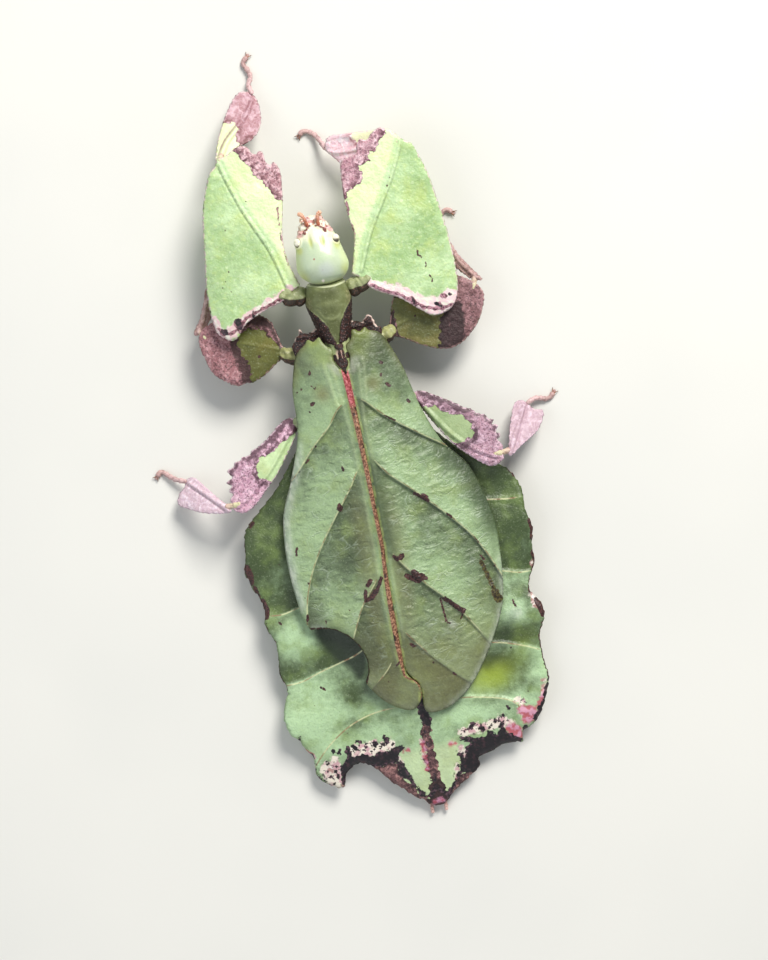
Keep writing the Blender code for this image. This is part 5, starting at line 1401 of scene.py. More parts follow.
def make_abdomen(finish):
    """The abdomen: a dome under the wing covers and thin flaps with raised cords."""
    loop = serrate(curve(ABDOMEN, 0.33, closed=True), 0.34, 1.7, 31)
    cords = [curve(cord, 0.35) for cord in ABDOMEN_CORDS]
    sheet = Sheet(loop, 0.40, cords)
    x, y, edge = sheet.x, sheet.y, sheet.edge
    half = through(COVER_HALF, y)
    under = roof(x, y) - PLATE / 2 - COVER_GAP
    share = through(DOME, y) * (1 - ease(CORE_FLAT, half - 3, np.abs(x)))
    level = flap_level(x, y)
    bulge = np.cos(np.clip(np.abs(x) / through(CORE_HALF, y), 0, 1) * math.pi / 2) ** 2
    keel = np.maximum(through(KEEL, y), 0)
    taper = (RIM_THICKNESS + (PLATE - RIM_THICKNESS) * ease(0, RIM_TAPER, edge)) / 2
    panel = through(ABDOMEN_PANEL, y) + ovals(ABDOMEN_SPOTS, x, y)
    line = np.full(x.shape, VEIN_REACH)
    dip = np.zeros(x.shape)
    for cord in cords:
        hand = np.sign(cord[len(cord) // 2, 0])
        distance, along, _ = nearest(cord, x, y)
        same = ease(1, 6, x * hand)
        order = np.argsort(cord[:, 0])
        ahead = y < np.interp(x, cord[order, 0], cord[order, 1])
        # Painted shade on one side of each cord and painted light on the other.
        if cord[:, 1].mean() > REAR_CORDS:
            shade_and_light = np.where(ahead, 0.12, -0.14)
        else:
            shade_and_light = np.where(ahead, -0.34, 0.12)
        panel += same * (shade_and_light * swell(distance, 3.6) + 0.2 * swell(distance, 0.5))
        dip += same * np.where(ahead, -0.45, 0.0) * (swell(distance, 3.5) - swell(distance, 0.35))
        line = np.minimum(line, distance + 0.25 * ease(0.8, 1.0, along))
    flap = ease(0.5, 4, edge) * 0.12 * rough(x, y, 4, 32) + 0.05 * rough(x, y, 1.1, 33)
    flap += dip + 0.22 * swell(line, 0.3)
    ripple = 0.35 * (1 - ease(0, 3.5, edge)) * rough(x, y, 4.5, 34)
    band = through(TAIL_BAND_HALF, y) - nearest(TAIL_BAND, x, y)[0]
    flap += 0.16 * ease(-0.2, 0.5, band)
    open_air = ease(0.0, 2.0, np.abs(x) - half + 2.5) + ease(66, 72, y)
    relief = (flap + ripple) * np.clip(open_air, 0, 1)
    domed = level + relief + taper + (under - level) * share
    top = np.minimum(domed, under - 0.2 + relief * ease(66, 74, y))
    bottom = level + relief / 2 - taper
    bottom = bottom - (bottom - keel) * np.clip(1.2 * bulge, 0, 1) * ease(0, 1.5, edge)
    top = np.maximum(top, bottom + 2 * taper)

    edge_shade = 0.5 * swell(np.min([away(path, x, y) for path in EDGE_SHADES], axis=0), 1.6)
    shade = edge_shade + 0.28 * oval(x, y, 19, 30, 5, 6) + 0.22 * ease(75, 79, y)
    marks = leaf_marks(
        sheet,
        panel=panel,
        vein=line,
        wrinkle=0.16 * ease(1, 4, edge),
        tint=0.45 * ease(76.5, 79, y) * (1 - ease(5, 7, np.abs(x))),
        speck=strokes(ABDOMEN_SPECKS, x, y),
        patch=np.maximum(patches(TAIL_STRIPS, x, y), np.where(y > 73, band, NOWHERE)),
        blotch=np.maximum(patches(TAIL_BLOTCHES, x, y), strokes(TAIL_SPOTS, x, y)),
        deep=np.where(y > 84, 0.4 + band, NOWHERE),
        rose=strokes(TAIL_ROSE, x, y),
        blush=strokes(TAIL_BLUSH, x, y),
        cream=strokes(ABDOMEN_PALE, x, y),
        yellow=0.85 * oval(x, y, -14, 67.6, 5.12, 3.2) + 0.3 * oval(x, y, -22, 63, 3, 3),
        amber=0.3 * oval(x, y, -14, 66, 7.04, 3.2),
        # Painted sheen on the pale bump by the right flap's margin.
        frost=0.6 * oval(x, y, -21.5, 57, 1.8, 1.5),
        shade=np.maximum(ease(-1.8, 0.8, patches([BITE_SHADE], x, y)), shade),
    )
    points, faces = sheet.closed(top, bottom)
    points[:, 2] = np.maximum(points[:, 2], 0)
    add_piece("abdomen", points, faces, finish, ("abdomen",), marks)


def dome(distance, width):
    """The rise of a rounded edge: 0 at the edge, 1 a width in."""
    return np.sqrt(np.clip(1 - (1 - np.clip(distance / width, 0, 1)) ** 2, 0, 1))


def scatter(outlines, spacing, seed):
    """Random places inside outlines, no closer to each other than a spacing."""
    draw = np.random.default_rng(seed)
    found = []
    for outline in outlines:
        loop = np.array(outline, float)
        for spot in draw.uniform(loop.min(axis=0), loop.max(axis=0), (SCATTER_TRIES, 2)):
            clear = all(math.hypot(*(spot - other)) > spacing for other in found)
            if clear and inside(loop, *spot):
                found.append(spot)
    return np.array(found)


def beads(places, x, y, radius):
    """Rounded beads at places: 1 at the middle of each."""
    height = np.zeros(x.shape)
    for bead_x, bead_y in places:
        height = np.maximum(height, swell(np.hypot(x - bead_x, y - bead_y), radius))
    return height


def mirror(outline):
    """An outline on the other side of the body."""
    return tuple((-x, y) for x, y in reversed(outline))


def make_prothorax(finish):
    """The pronotum: a rounded shield with a raised front rim and granular side strips."""
    strips = (STRIP_LEFT, mirror(STRIP_LEFT))
    front, rear = PRONOTUM_ENDS
    outline = (front, *PRONOTUM_SIDE, rear, *mirror(PRONOTUM_SIDE))
    loop = serrate(curve(outline, 0.16, closed=True), 0.24, 0.8, 41, lambda x, y: ease(-7, -5, y))
    sheet = Sheet(loop, 0.16)
    x, y = sheet.x, sheet.y
    across = np.clip(np.abs(x) / through(PRONOTUM_HALF, y), 0, 1)
    rise = np.minimum((1 - across**2.6) ** 0.5, dome(y + 11.2, 2.6)) * dome(sheet.edge, 0.5)
    strip = patches(strips, x, y)
    grains = beads(scatter(strips, 0.36, 42), x, y, 0.17) * ease(-0.1, 0.2, strip)
    rim = nearest((*PLATE_RIM_SIDE, PLATE_RIM_END, *mirror(PLATE_RIM_SIDE)), x, y)[0]
    collar = nearest(curve(COLLAR, 0.2), x, y)[0]
    top = PRONOTUM_RIM_Z + (through(PRONOTUM_CROWN, y) - PRONOTUM_RIM_Z) * rise
    top -= 0.07 * swell(y + 7.1 - 0.04 * x**2, 0.35) * (1 - ease(2.6, 3.4, np.abs(x)))
    top += 0.04 * swell(rim, 0.3) - 0.07 * swell(rim - 0.4, 0.3)
    top += 0.12 * swell(collar, 0.25)
    top -= 0.05 * swell(x, 0.2) * ease(-6.8, -6, y) * (1 - ease(-4.6, -3.9, y))
    top += 0.28 * ease(-0.25, 0.25, strip) + 0.20 * grains + 0.04 * rough(x, y, 0.7, 43)
    plates = (
        oval(x, y, 0, -8.6, 3.1, 1.7),
        0.8 * oval(x, y, 0, -5.3, 2.8, 1.4),
        ease(-3.7, -3.0, y),
    )
    marks = shield_marks(
        sheet,
        side=ease(2.4, 4.0, np.abs(x)) * ease(-9.4, -8, y) * (1 - ease(-4, -2, y)),
        strip=strip,
        grain=grains,
        collar=0.3 - collar,
        shield=np.max(plates, axis=0),
    )
    points, faces = sheet.closed(top, PRONOTUM_RIM_Z - 1.2 * rise)
    add_piece("prothorax", points, faces, finish, ("prothorax",), marks)


def make_mesothorax(finish):
    """Toothed shoulders beside a small shield, and a rim that runs in below the wing covers."""
    sheet = Sheet(serrate(curve(MESOTHORAX, 0.18, closed=True), 0.34, 0.85, 44), 0.19)
    x, y = sheet.x, sheet.y
    dark = patches((*SHOULDER_STRIPS, *SCUTELLUM_DARK), x, y)
    strip = np.maximum(dark, strokes(SCUTELLUM_SPOTS, x, y))
    places = np.vstack((scatter(SHOULDER_STRIPS, 0.40, 45), scatter(SCUTELLUM_DARK, 0.36, 49)))
    grains = beads(places, x, y, 0.18) * ease(-0.1, 0.2, strip)
    under = roof(x, y) - PLATE / 2 - COVER_GAP
    covered = ease(-1.6, -0.7, y) * ease(1.3, 1.9, np.abs(x))
    ridge = SHOULDER_Z + 0.3 + (SCUTELLUM_Z - 0.9 - SHOULDER_Z) * (1 - ease(1.2, 3.4, np.abs(x)))
    ridge += 0.35 * oval(x, y, 0, 3.8, 1.3, 2.34) + 0.3 * (1 - ease(0.4, 1.4, np.abs(x)))
    top = ridge * (1 - covered) + np.minimum(under - 0.05, ridge) * covered
    top += (0.25 * ease(-0.2, 0.2, strip) + 0.22 * grains) * (1 - covered)
    for side in (-1, 1):
        top -= 0.16 * swell(x - 0.3 * side, 0.12) * swell(y - 3.3, 0.9)
    floor_z = THORAX_BELLY + 2.2 * ease(3, 8, np.abs(x))
    rise = dome(sheet.edge, 1.1)
    rim = (top + floor_z) / 2 + 0.4
    points, faces = sheet.closed(rim + (top - rim) * rise, rim + (floor_z - rim) * rise)
    pale_edge = 0.2 - sheet.edge + 0.3 * rough(x, y, 0.8, 48)
    marks = shield_marks(
        sheet,
        strip=strip,
        grain=grains,
        collar=np.where(y < -0.4, pale_edge, NOWHERE),
        blush=oval(x, y, 0, 3.2, 1.0, 1.7),
    )
    add_piece("mesothorax", points, faces, finish, ("mesothorax",), marks)


def make_metathorax(finish):
    """The third segment: a plain block that the wing covers hide."""
    flank = [(half, y) for y, half in METATHORAX]
    outline = ((4, 8.9), *flank, (4, 14.1), (-4, 14.1), *mirror(flank), (-4, 8.9))
    sheet = Sheet(curve(outline, 0.3, closed=True), 0.35)
    x, y = sheet.x, sheet.y
    rise = METATHORAX_HALF * dome(sheet.edge, 1.6)
    top = METATHORAX_Z + rise + 0.12 * rough(x, y, 1.5, 46) - 0.1 * swell(np.abs(np.abs(x) - 3), 0.3)
    bottom = METATHORAX_Z - rise + 0.12 * rough(x, y, 1.2, 47)
    points, faces = sheet.closed(top, bottom)
    marks = shield_marks(sheet)
    add_piece("metathorax", points, faces, finish, ("metathorax",), marks)


def ball(detail):
    """Points and triangles of an even unit ball."""
    model = bmesh.new()
    bmesh.ops.create_icosphere(model, subdivisions=detail, radius=1)
    points = np.array([v.co for v in model.verts])
    faces = np.array([[v.index for v in face.verts] for face in model.faces])
    model.free()
    return points, faces


def eye_distances(x, y, z):
    """How far points are from the middle of each eye."""
    return [np.sqrt((x - a) ** 2 + (y - b) ** 2 + (z - c) ** 2) for a, b, c in EYES.values()]


def make_head(finish):
    """The head: an egg with lumps, ridges in front, and raised rims round eyes and feelers."""
    unit, faces = ball(6)
    y = (HEAD_ENDS[0] + HEAD_ENDS[1]) / 2 + (HEAD_ENDS[0] - HEAD_ENDS[1]) / 2 * unit[:, 1]
    half_width, half_height = through(HEAD_HALF_WIDTH, y), through(HEAD_HALF_HEIGHT, y)
    middle = through(HEAD_MIDDLE, y)
    x = middle + unit[:, 0] * half_width
    z = through(HEAD_MID, y) + unit[:, 2] * half_height
    out = unit / np.column_stack((half_width, np.full(len(x), HEAD_HALF_LENGTH), half_height))
    out /= np.linalg.norm(out, axis=1)[:, None]
    above = ease(-0.1, 0.3, unit[:, 2])
    raised = np.zeros(len(x))
    for lump_x, lump_y, height, radius in HEAD_LUMPS:
        raised += above * height * swell(np.hypot(x - lump_x, y - lump_y), radius)
    from_eyes = eye_distances(x, y, z)
    for distance in from_eyes:
        raised += 0.22 * swell(distance - 0.98, 0.22) - 0.15 * swell(distance, 0.6)
        raised += 0.16 * swell(distance, 1.9)
    for path in ANTENNAE.values():
        distance = np.hypot(x - path[1][0], y - path[1][1])
        raised += above * (0.30 * swell(distance - 0.5, 0.2) + 0.2 * swell(distance, 0.8))
    front = 1 - ease(-22.6, -20.4, y)
    ridge = np.min([nearest(path, x, y)[0] for path in HEAD_RIDGES], axis=0)
    face = ease(-0.2, 0.3, patches([FACE], x, y)) * above
    granules = beads(scatter([FACE], 0.46, 54), x, y, 0.21) * face
    raised += above * 0.10 * front * rough(x, y, 0.35, 51) + 0.20 * granules
    raised += above * (0.30 * swell(ridge, 0.22) - 0.22 * swell(ridge - 0.45, 0.25) * (y < -20.4))
    raised += above * 0.26 * swell(x - 0.1, 0.8) * swell(y + 20.0, 1.5)
    raised -= above * 0.16 * (swell(x - 1.0, 0.35) + swell(x + 1.2, 0.4)) * swell(y + 18.4, 1.3)
    raised += 0.035 * rough(x, y + z, 1.2, 52) - 0.10 * swell(y + 10.9, 0.3) * above
    raised -= 0.5 * (1 - ease(-0.5, -0.1, unit[:, 2])) * front
    points = np.column_stack((x, y, z)) + out * raised[:, None]

    aside = np.abs(x - middle)
    corners = 0.7 * oval(aside, y, 3.9, -12.0, 1.3, 1.8)
    lumps = above * beads([lump[:2] for lump in HEAD_LUMPS], x, y, 0.36)
    marks = {
        "front": 1 - ease(-19.6, -16.9, y + 0.35 * np.abs(x - 0.1)),
        "face": face,
        "rear": ease(-11.3, -10.0, y + 0.06 * aside),
        "granule": np.where(above > 0.3, strokes(HEAD_GRANULES, x, y), NOWHERE),
        "pink": np.where(above > 0.1, strokes(HEAD_PINK, x, y), NOWHERE),
        "patch": above * (ovals(HEAD_PATCHES, x, y) + corners),
        "side": ease(2.6, 4.6, aside),
        "ash": oval(x, y, -0.8, -13.0, 1.8, 1.62),
        "dot": np.where(above > 0.3, strokes(HEAD_DOTS, x, y), NOWHERE),
        "lump": np.maximum(lumps, 0.95 * granules),
        "rim": swell(np.min(from_eyes, axis=0) - 1.0, 0.3),
    }
    add_piece("head", points, faces, finish, ("head",), marks)


def make_eyes(finish):
    """Two rounded eyes with painted shade on their rear sides, starting further back on the left one.
    """
    unit, faces = ball(5)
    for name, centre in EYES.items():
        shape = unit * EYE_HALF
        shape[:, 2] += 0.03 * rough(unit[:, 0], unit[:, 1], 0.4, 53)
        behind = unit[:, 1] - (0.35 if name == "eye_left" else 0.0)
        add_piece(name, shape + centre, faces, finish, (name,), {"behind": behind})


def limb(path, radius, step=0.1, sides=20):
    """Points, triangles, and the share of the length at each point, of a round limb."""
    middle = curve(path, step)
    along = np.gradient(middle, axis=0)
    along /= np.linalg.norm(along, axis=1)[:, None]
    across = np.cross(along, (0.02, 0.01, 1))
    across /= np.linalg.norm(across, axis=1)[:, None]
    up = np.cross(across, along)
    share = np.linspace(0, 1, len(middle))
    length = step * (len(middle) - 1)
    turns = np.linspace(0, 2 * math.pi, sides, endpoint=False)
    size = radius(share[:, None], turns[None, :])
    end = np.minimum(share, 1 - share) * length
    size = size * np.maximum(dome(end[:, None], size.mean()), 0.12)
    way = np.cos(turns)[None, :, None] * across[:, None] + np.sin(turns)[None, :, None] * up[:, None]
    points = (middle[:, None] + size[:, :, None] * way).reshape(-1, 3)
    rings = len(middle)
    a = (np.arange(rings - 1)[:, None] * sides + np.arange(sides)).ravel()
    b = (np.arange(rings - 1)[:, None] * sides + (np.arange(sides) + 1) % sides).ravel()
    faces = [np.column_stack((a, b, b + sides)), np.column_stack((a, b + sides, a + sides))]
    first, last = rings * sides, rings * sides + 1
    turn = np.arange(sides)
    following = (turn + 1) % sides
    faces.append(np.column_stack((following, turn, np.full(sides, first))))
    tail = (rings - 1) * sides
    faces.append(np.column_stack((turn + tail, following + tail, np.full(sides, last))))
    points = np.vstack((points, middle[:1], middle[-1:]))
    points[:, 2] = np.maximum(points[:, 2], 0)
    return points, np.vstack(faces), np.concatenate((np.repeat(share, sides), (0, 1)))


def joined(parts):
    """Several (points, faces, share) bodies as one."""
    points, faces, shares, count = [], [], [], 0
    for part_points, part_faces, share in parts:
        points.append(part_points)
        faces.append(part_faces + count)
        shares.append(share)
        count += len(part_points)
    return np.vstack(points), np.vstack(faces), np.concatenate(shares)


def segmented(joints, narrow, wide):
    """A radius function for limb(): segments that widen toward their far ends."""
    joints = np.array(joints)

    def radius(share, turn):
        k = np.clip(np.searchsorted(joints, share, side="right") - 1, 0, len(joints) - 2)
        t = (share - joints[k]) / (joints[k + 1] - joints[k])
        swollen = ease(0.0, 0.25, t) * 0.4 + ease(0.3, 0.9, t) * 0.6
        swollen = swollen * (1 - 0.75 * ease(0.9, 1.0, t))
        return (narrow + (wide - narrow) * swollen) * (1 + 0.05 * np.cos(3 * turn + 9 * share))

    return radius


def make_antennae(finish):
    """Short antennae: a thick base, then bead-like segments that swell to a club."""
    beaded = segmented(ANTENNA_JOINTS, 0.86, 1.08)

    def radius(share, turn):
        return beaded(share, turn) * through(ANTENNA_RADIUS, share)

    for name, path in ANTENNAE.items():
        points, faces, share = limb(path, radius, 0.04, 24)
        add_piece(name, points, faces, finish, (name,), {"share": share})


def make_mouth(finish):
    """Upper lip, jaws and two pairs of jointed palps under the front of the head."""
    x, y, z = MOUTH
    parts = []
    unit, faces = ball(4)
    for side in (-1, 1):
        jaw = unit * (0.85, 1.5, 0.72)
        jaw[:, 0] += 0.78 * side * (1 - 0.25 * unit[:, 1])
        parts.append((jaw + (x, y, z + 0.1), faces, np.zeros(len(unit))))
        for reach, width in ((1.0, 1.75), (0.66, 0.75)):
            path = (
                (x + side * width * 0.7, y + 0.4, z - 0.1),
                (x + side * width, y - 0.9 * reach, z - 0.5),
                (x + side * (width + 0.25), y - 1.7 * reach, z - 0.75),
                (x + side * (width - 0.1), y - 2.35 * reach, z - 0.4),
            )
            parts.append(limb(path, segmented((0, 0.3, 0.62, 1), 0.15, 0.25), 0.07, 14))
    lip = unit * (1.05, 0.42, 1.25)
    lip[:, 1] -= 0.25 * (1 - unit[:, 0] ** 2)
    lip[:, 2] -= 0.25 * swell(unit[:, 0], 0.25) * (unit[:, 2] < 0)
    parts.append((lip + (x, y - 1.75, z + 0.75), faces, np.full(len(unit), 0.2)))
    points, faces, share = joined(parts)
    add_piece("mouthparts", points, faces, finish, ("mouthparts",), {"share": share})


def sloping(shaft, ends, droop=0.0):
    """A height that runs evenly along a shaft and droops away from it."""

    def height(x, y):
        distance = nearest(shaft, x, y)[0]
        a, b = np.array(shaft[0]), np.array(shaft[-1])
        share = ((x - a[0]) * (b - a)[0] + (y - a[1]) * (b - a)[1]) / np.dot(b - a, b - a)
        return ends[0] + (ends[1] - ends[0]) * np.clip(share, -0.1, 1.2) - droop * distance**2

    return height


def make_lobe(name, leg, part, finish, seed):
    """A leaf-like leg segment: a blade with toothed edges round a raised shaft."""
    hand = 1 if name.endswith("left") else -1
    fore = "fore" in name
    femur = part == "femur"
    loop = curve(leg[part], 0.24, closed=True)
    loop = serrate(loop, 0.20 if fore and femur else 0.30, 0.9, seed)
    shaft = curve(leg[f"{part}_shaft"], 0.4)
    shaft_half, shaft_rise = SHAFTS[name.split("_")[0] if femur else "tibia"]
    rails = [beside(shaft, offset) for offset in (-shaft_half, 0.0, shaft_half)]
    sheet = Sheet(loop, 0.28 if fore else 0.24, rails)
    x, y = sheet.x, sheet.y
    inward = ease(0, 1, sheet.edge)
    distance, share, side = nearest(shaft, x, y)
    outer = side * hand > 0
    middle = sloping(leg[f"{part}_shaft"], leg[f"{part}_z"], 0.006 if femur else 0.0)(x, y)
    relief = 0.16 * rough(x, y, 3.2, seed + 1) + 0.06 * rough(x, y, 1.0, seed + 2)
    ripple = 0.25 * (1 - ease(0, 2.0, sheet.edge)) * rough(x, y, 2.6, seed + 3)
    relief += ripple * ease(0.5, 2, distance)
    width = shaft_half * (1 - 0.35 * share)
    round_shaft = np.clip(1 - (distance / width) ** 2, 0, 1) ** 0.8
    relief += shaft_rise * round_shaft * ease(0, 0.5, sheet.edge)
    relief -= shaft_rise * np.where(outer, 0.5, 0.16) * swell(distance - width - 0.15, 0.2)
    dish = patches(leg.get(f"{part}_dish", ()), x, y)
    relief -= 0.3 * ease(-0.2, 0.8, dish)

    patch = -patches(leg.get(f"{part}_fresh", ()), x, y)
    if f"{part}_patch" in leg:
        patch = patches(leg[f"{part}_patch"], x, y)
    drawn = {
        mark: strokes(leg.get(f"{part}_{mark}", ()), x, y)
        for mark in ("deep", "stain", "blush", "speck", "blotch")
    }
    inner_tint = np.where(outer, 0.0, 0.62) * ease(0.6, 1.6, distance) * (fore and femur)
    shaft_shade = np.where(outer, 0.4, 0.1) * swell(distance - width - 0.05, 0.15)
    shaft_groove = np.where(outer, 1.0, 0.3) * swell(distance - width, 0.16)
    marks = leaf_marks(
        sheet,
        **drawn,
        patch=patch,
        panel=0.5 + np.where(outer, -0.06, 0.2) + 0.12 * rough(x, y, 5, seed + 4),
        tint=inner_tint + 0.2 * swell(distance, 0.6 * width) * fore,
        shade=shaft_shade * inward * (1.0 if fore else 0.2),
        # Painted shade in the groove beside the shaft and round the dish, and a painted highlight in
        # it.
        groove=np.maximum(shaft_groove * inward * (not femur), 0.5 * swell(dish, 0.25)),
        frost=0.6 * ease(0.2, 0.9, dish),
    )
    points, faces = plate(sheet, middle, relief, LOBE_PLATE)
    points[:, 2] = np.maximum(points[:, 2], 0)
    add_piece(f"{part}_{name}", points, faces, finish, (f"{part}_{name}",), marks)


def make_foot(name, leg, foot_finish, claw_finish):
    """A tarsus of five segments with a pad, and two hooked claws."""
    path = np.array(leg["tarsus"], float)
    segments = limb(path, segmented(TARSUS_JOINTS, 0.36, TARSUS_RADIUS), 0.06, 18)
    points, faces, share = joined([segments, pad(path)])
    points[:, 2] = np.maximum(points[:, 2], 0)
    tarsus = f"tarsus_{name}"
    add_piece(tarsus, points, faces, foot_finish, (tarsus,), {"share": share})
    ahead = path[-1] - path[-2]
    ahead = ahead / np.linalg.norm(ahead) * (1, 1, 0)
    across = np.array((-ahead[1], ahead[0], 0))

    def radius(share, turn):
        return (0.13 - 0.09 * share) + 0 * turn

    claws = []
    for side in (-1, 1):
        way = ahead + 0.65 * side * across
        root = path[-1] + 0.12 * side * across - 0.1 * ahead
        crest = root + 0.35 * way + (0, 0, 0.12)
        tip = root + 0.78 * way - (0, 0, 0.26)
        claws.append(limb((root, crest, root + 0.62 * way, tip), radius, 0.04, 10))
    points, faces, share = joined(claws)
    add_piece(f"claws_{name}", points, faces, claw_finish, (), {"share": share})


def pad(path):
    """The soft pad between a foot's claws."""
    ahead = path[-1] - path[-2]
    unit, faces = ball(3)
    turned = math.atan2(ahead[1], ahead[0])
    shape = unit * (0.38, 0.30, 0.20)
    x = shape[:, 0] * math.cos(turned) - shape[:, 1] * math.sin(turned)
    y = shape[:, 0] * math.sin(turned) + shape[:, 1] * math.cos(turned)
    forward = ahead / np.linalg.norm(ahead)
    centre = path[-1] + 0.22 * forward + (0, 0, 0.24 - path[-1][2])
    return np.column_stack((x, y, shape[:, 2])) + centre, faces, np.full(len(unit), 0.98)


def make_coxa(name, leg, finish):
    """The leg's root: a lumpy cone from the body to the blade, swollen behind."""
    hand = 1 if name.endswith("left") else -1
    wide = COXA_RADIUS * (1.4 if "fore" in name else 1.25)

    def radius(share, turn):
        folds = 0.06 * np.cos(21 * share + 2.2 * np.sin(turn)) + 0.07 * np.cos(3 * turn + 4 * share)
        rearward = np.maximum(-hand * np.cos(turn), 0)
        return wide * (1.05 - 0.34 * share + folds + 0.8 * rearward**2 * (1 - 0.45 * share))

    points, faces, share = limb(leg["coxa"], radius, 0.12, 28)
    path = curve(leg["coxa"], 0.1)
    shares = np.linspace(0, 1, len(path))
    aside = points - np.column_stack([np.interp(share, shares, path[:, k]) for k in range(3)])
    points = points + 0.22 * rough(points[:, 0], points[:, 1], 0.8, 61)[:, None] * (0.4, 0.4, 1)
    behind = ease(0.35, 1.3, aside[:, 1] - 0.15 * aside[:, 2])
    behind = np.maximum(behind, 1 - ease(-0.9, -0.3, aside[:, 2]))
    coxa = f"coxa_{name}"
    add_piece(coxa, points, faces, finish, (coxa,), {"behind": behind})


def make_knee(name, leg, finish):
    """The hinge between a leg's two blades."""
    femur, tibia = np.array(leg["femur_shaft"], float), np.array(leg["tibia_shaft"], float)
    back = 0.2 if len(femur) > 3 else 0.07
    before = (*(femur[-1] * (1 - back) + femur[-2] * back), leg["femur_z"][1] - 0.1)
    after = (*(tibia[0] * 0.85 + tibia[1] * 0.15), leg["tibia_z"][0] - 0.3)
    middle = tuple((np.array(before) + np.array(after)) / 2 + (0, 0, 0.15))
    shape = segmented((0, 0.5, 1), 0.45, 0.62)
    points, faces, share = limb((before, middle, after), shape, 0.08, 20)
    add_piece(f"knee_{name}", points, faces, finish, (), {"share": share})


def shield_look(name, green, light):
    """Thorax shield: olive green, brown granular strips and pale rims."""
    look = Finish(name, 0.58, green, glow=0.05, coat=0.04)
    mottle = look.noise(0.7, 4.0)
    look.coat(look.step(mottle, 0.35, 0.68, 0.7), light)
    look.on_mark("shield", 0.15, 1.0, 0.95, (78, 84, 42))
    look.on_noise(3.0, 3.0, 0.55, 0.75, 0.25, (160, 166, 124))
    flank = look.blend(1.8, 3.0, 0.46, 0.6, (112, 112, 70), (168, 162, 120))
    look.on_mark("side", 0.1, 1.0, 0.5, flank)
    look.on_mark("blush", 0.3, 0.9, 0.9, (206, 168, 158))
    rim = look.step(look.field("collar"), 0.02, 0.22, 0.8)
    look.coat(rim, (202, 206, 170))
    strip = look.ragged("strip", 0.25, 1.6, soft=0.08)
    look.coat(strip, look.blend(2.2, 4.0, 0.42, 0.64, (20, 7, 5), (62, 25, 15)))
    grain = look.times(look.step(look.field("grain"), 0.55, 0.95), strip)
    look.coat(look.times(grain, look.step(look.noise(1.3), 0.42, 0.56, 0.7)), (184, 150, 146))
    look.coat(look.times(rim, strip), (232, 206, 194))
    look.dull(strip, 0.6)
    look.relief(mottle, 0.12)
    look.relief(look.noise(3.4, 3.0), 0.06)
    look.relief(look.times(strip, look.noise(2.4, 4.0)), 0.22)
    return look.done()


def head_look():
    """Head: waxy cream in front, mint on the dome, olive toward the rear rim."""
    look = Finish("head_cuticle", 0.36, (192, 205, 174), glow=0.11, coat=0.2)
    look.on_noise(0.45, 4.0, 0.38, 0.66, 0.4, (182, 202, 166))
    look.on_mark("side", 0.0, 1.0, 0.55, (206, 216, 158))
    look.on_mark("ash", 0.1, 1.0, 0.6, (196, 202, 200))
    look.on_mark("rear", 0.0, 1.0, 0.9, (168, 176, 126))
    look.on_mark("front", 0.05, 0.9, 1.0, (230, 231, 203))
    look.on_mark("patch", 0.15, 1.0, 0.75, (190, 196, 104))
    look.on_mark("rim", 0.3, 1.0, 0.6, (236, 232, 196))
    face = look.step(look.field("face"), 0.1, 0.9)
    granular = look.times(face, look.step(look.noise(1.2, 4.0), 0.42, 0.56))
    red = look.blend(1.1, 3.0, 0.46, 0.6, (212, 158, 146), (158, 92, 84))
    look.coat(look.times(granular, 0.85), red)
    look.on_mark("lump", 0.4, 0.75, 0.92, (246, 234, 222))
    look.coat(look.ragged("pink", 0.25, 1.6, soft=0.2, most=0.7), (204, 140, 142))
    look.coat(look.ragged("granule", 0.16, 2.6, soft=0.06, most=0.95), (116, 44, 40))
    look.coat(look.ragged("dot", 0.1, 3.0, soft=0.06, most=0.8), (156, 84, 76))
    look.on_noise(4.0, 2.0, 0.62, 0.74, 0.25, (150, 160, 120))
    look.relief(look.noise(1.6, 4.0), 0.05)
    look.relief(look.noise(4.5, 2.0), 0.02)
    return look.done()


def eye_look():
    """Eyes: creamy white and glossy, speckled and finely faceted, with painted shade grey-brown behind.
    """
    look = Finish("eye_lens", 0.14, (238, 232, 212), coat=0.6)
    look.on_noise(2.0, 3.0, 0.45, 0.66, 0.5, (196, 192, 168))
    # Painted shade: grey-brown, then dark, toward the eye's rear side.
    behind = look.uneven("behind", 1.6, 3.0)
    look.coat(look.step(behind, -0.1, 0.35, 0.85), (136, 124, 98))
    look.coat(look.step(behind, 0.3, 0.55, 0.9), (52, 42, 34))
    look.on_noise(6.0, 1.0, 0.6, 0.7, 0.4, (96, 80, 66))
    look.relief(look.cells(9.0), -0.02)
    return look.done()


def segment_look(name, scale=1.6):
    """Jointed limbs: a colour that changes along the length, with mottles and pores."""
    base, tip, dark, fleck = SEGMENT_COLOURS[name]
    look = Finish(name, 0.5, base, glow=0.06, coat=0.1)
    look.on_mark("share", 0.1, 0.95, 1.0, tip)
    mottle = look.noise(scale, 4.0)
    look.coat(look.step(mottle, 0.5, 0.68, 0.65), dark)
    look.on_noise(3.2 * scale, 3.0, 0.55, 0.72, 0.5, fleck)
    look.relief(mottle, 0.10)
    look.relief(look.noise(4.0 * scale, 3.0), 0.05)
    return look.done()


def coxa_look(name, light, dark):
    """Leg roots: green in front, brown and granular behind and below."""
    look = Finish(name, 0.55, light, glow=0.05, coat=0.05)
    look.on_noise(0.9, 4.0, 0.4, 0.66, 0.7, dark)
    look.on_noise(1.4, 3.0, 0.55, 0.7, 0.4, (214, 210, 176))
    look.on_noise(3.6, 3.0, 0.58, 0.7, 0.4, (206, 190, 164))
    brown = look.blend(2.6, 3.0, 0.5, 0.66, (38, 18, 15), (96, 58, 48))
    look.coat(look.step(look.uneven("behind", 1.2, 4.0), 0.25, 0.5, 0.95), brown)
    look.relief(look.noise(0.8, 4.0), 0.35)
    look.relief(look.noise(4.4, 3.0), 0.05)
    return look.done()


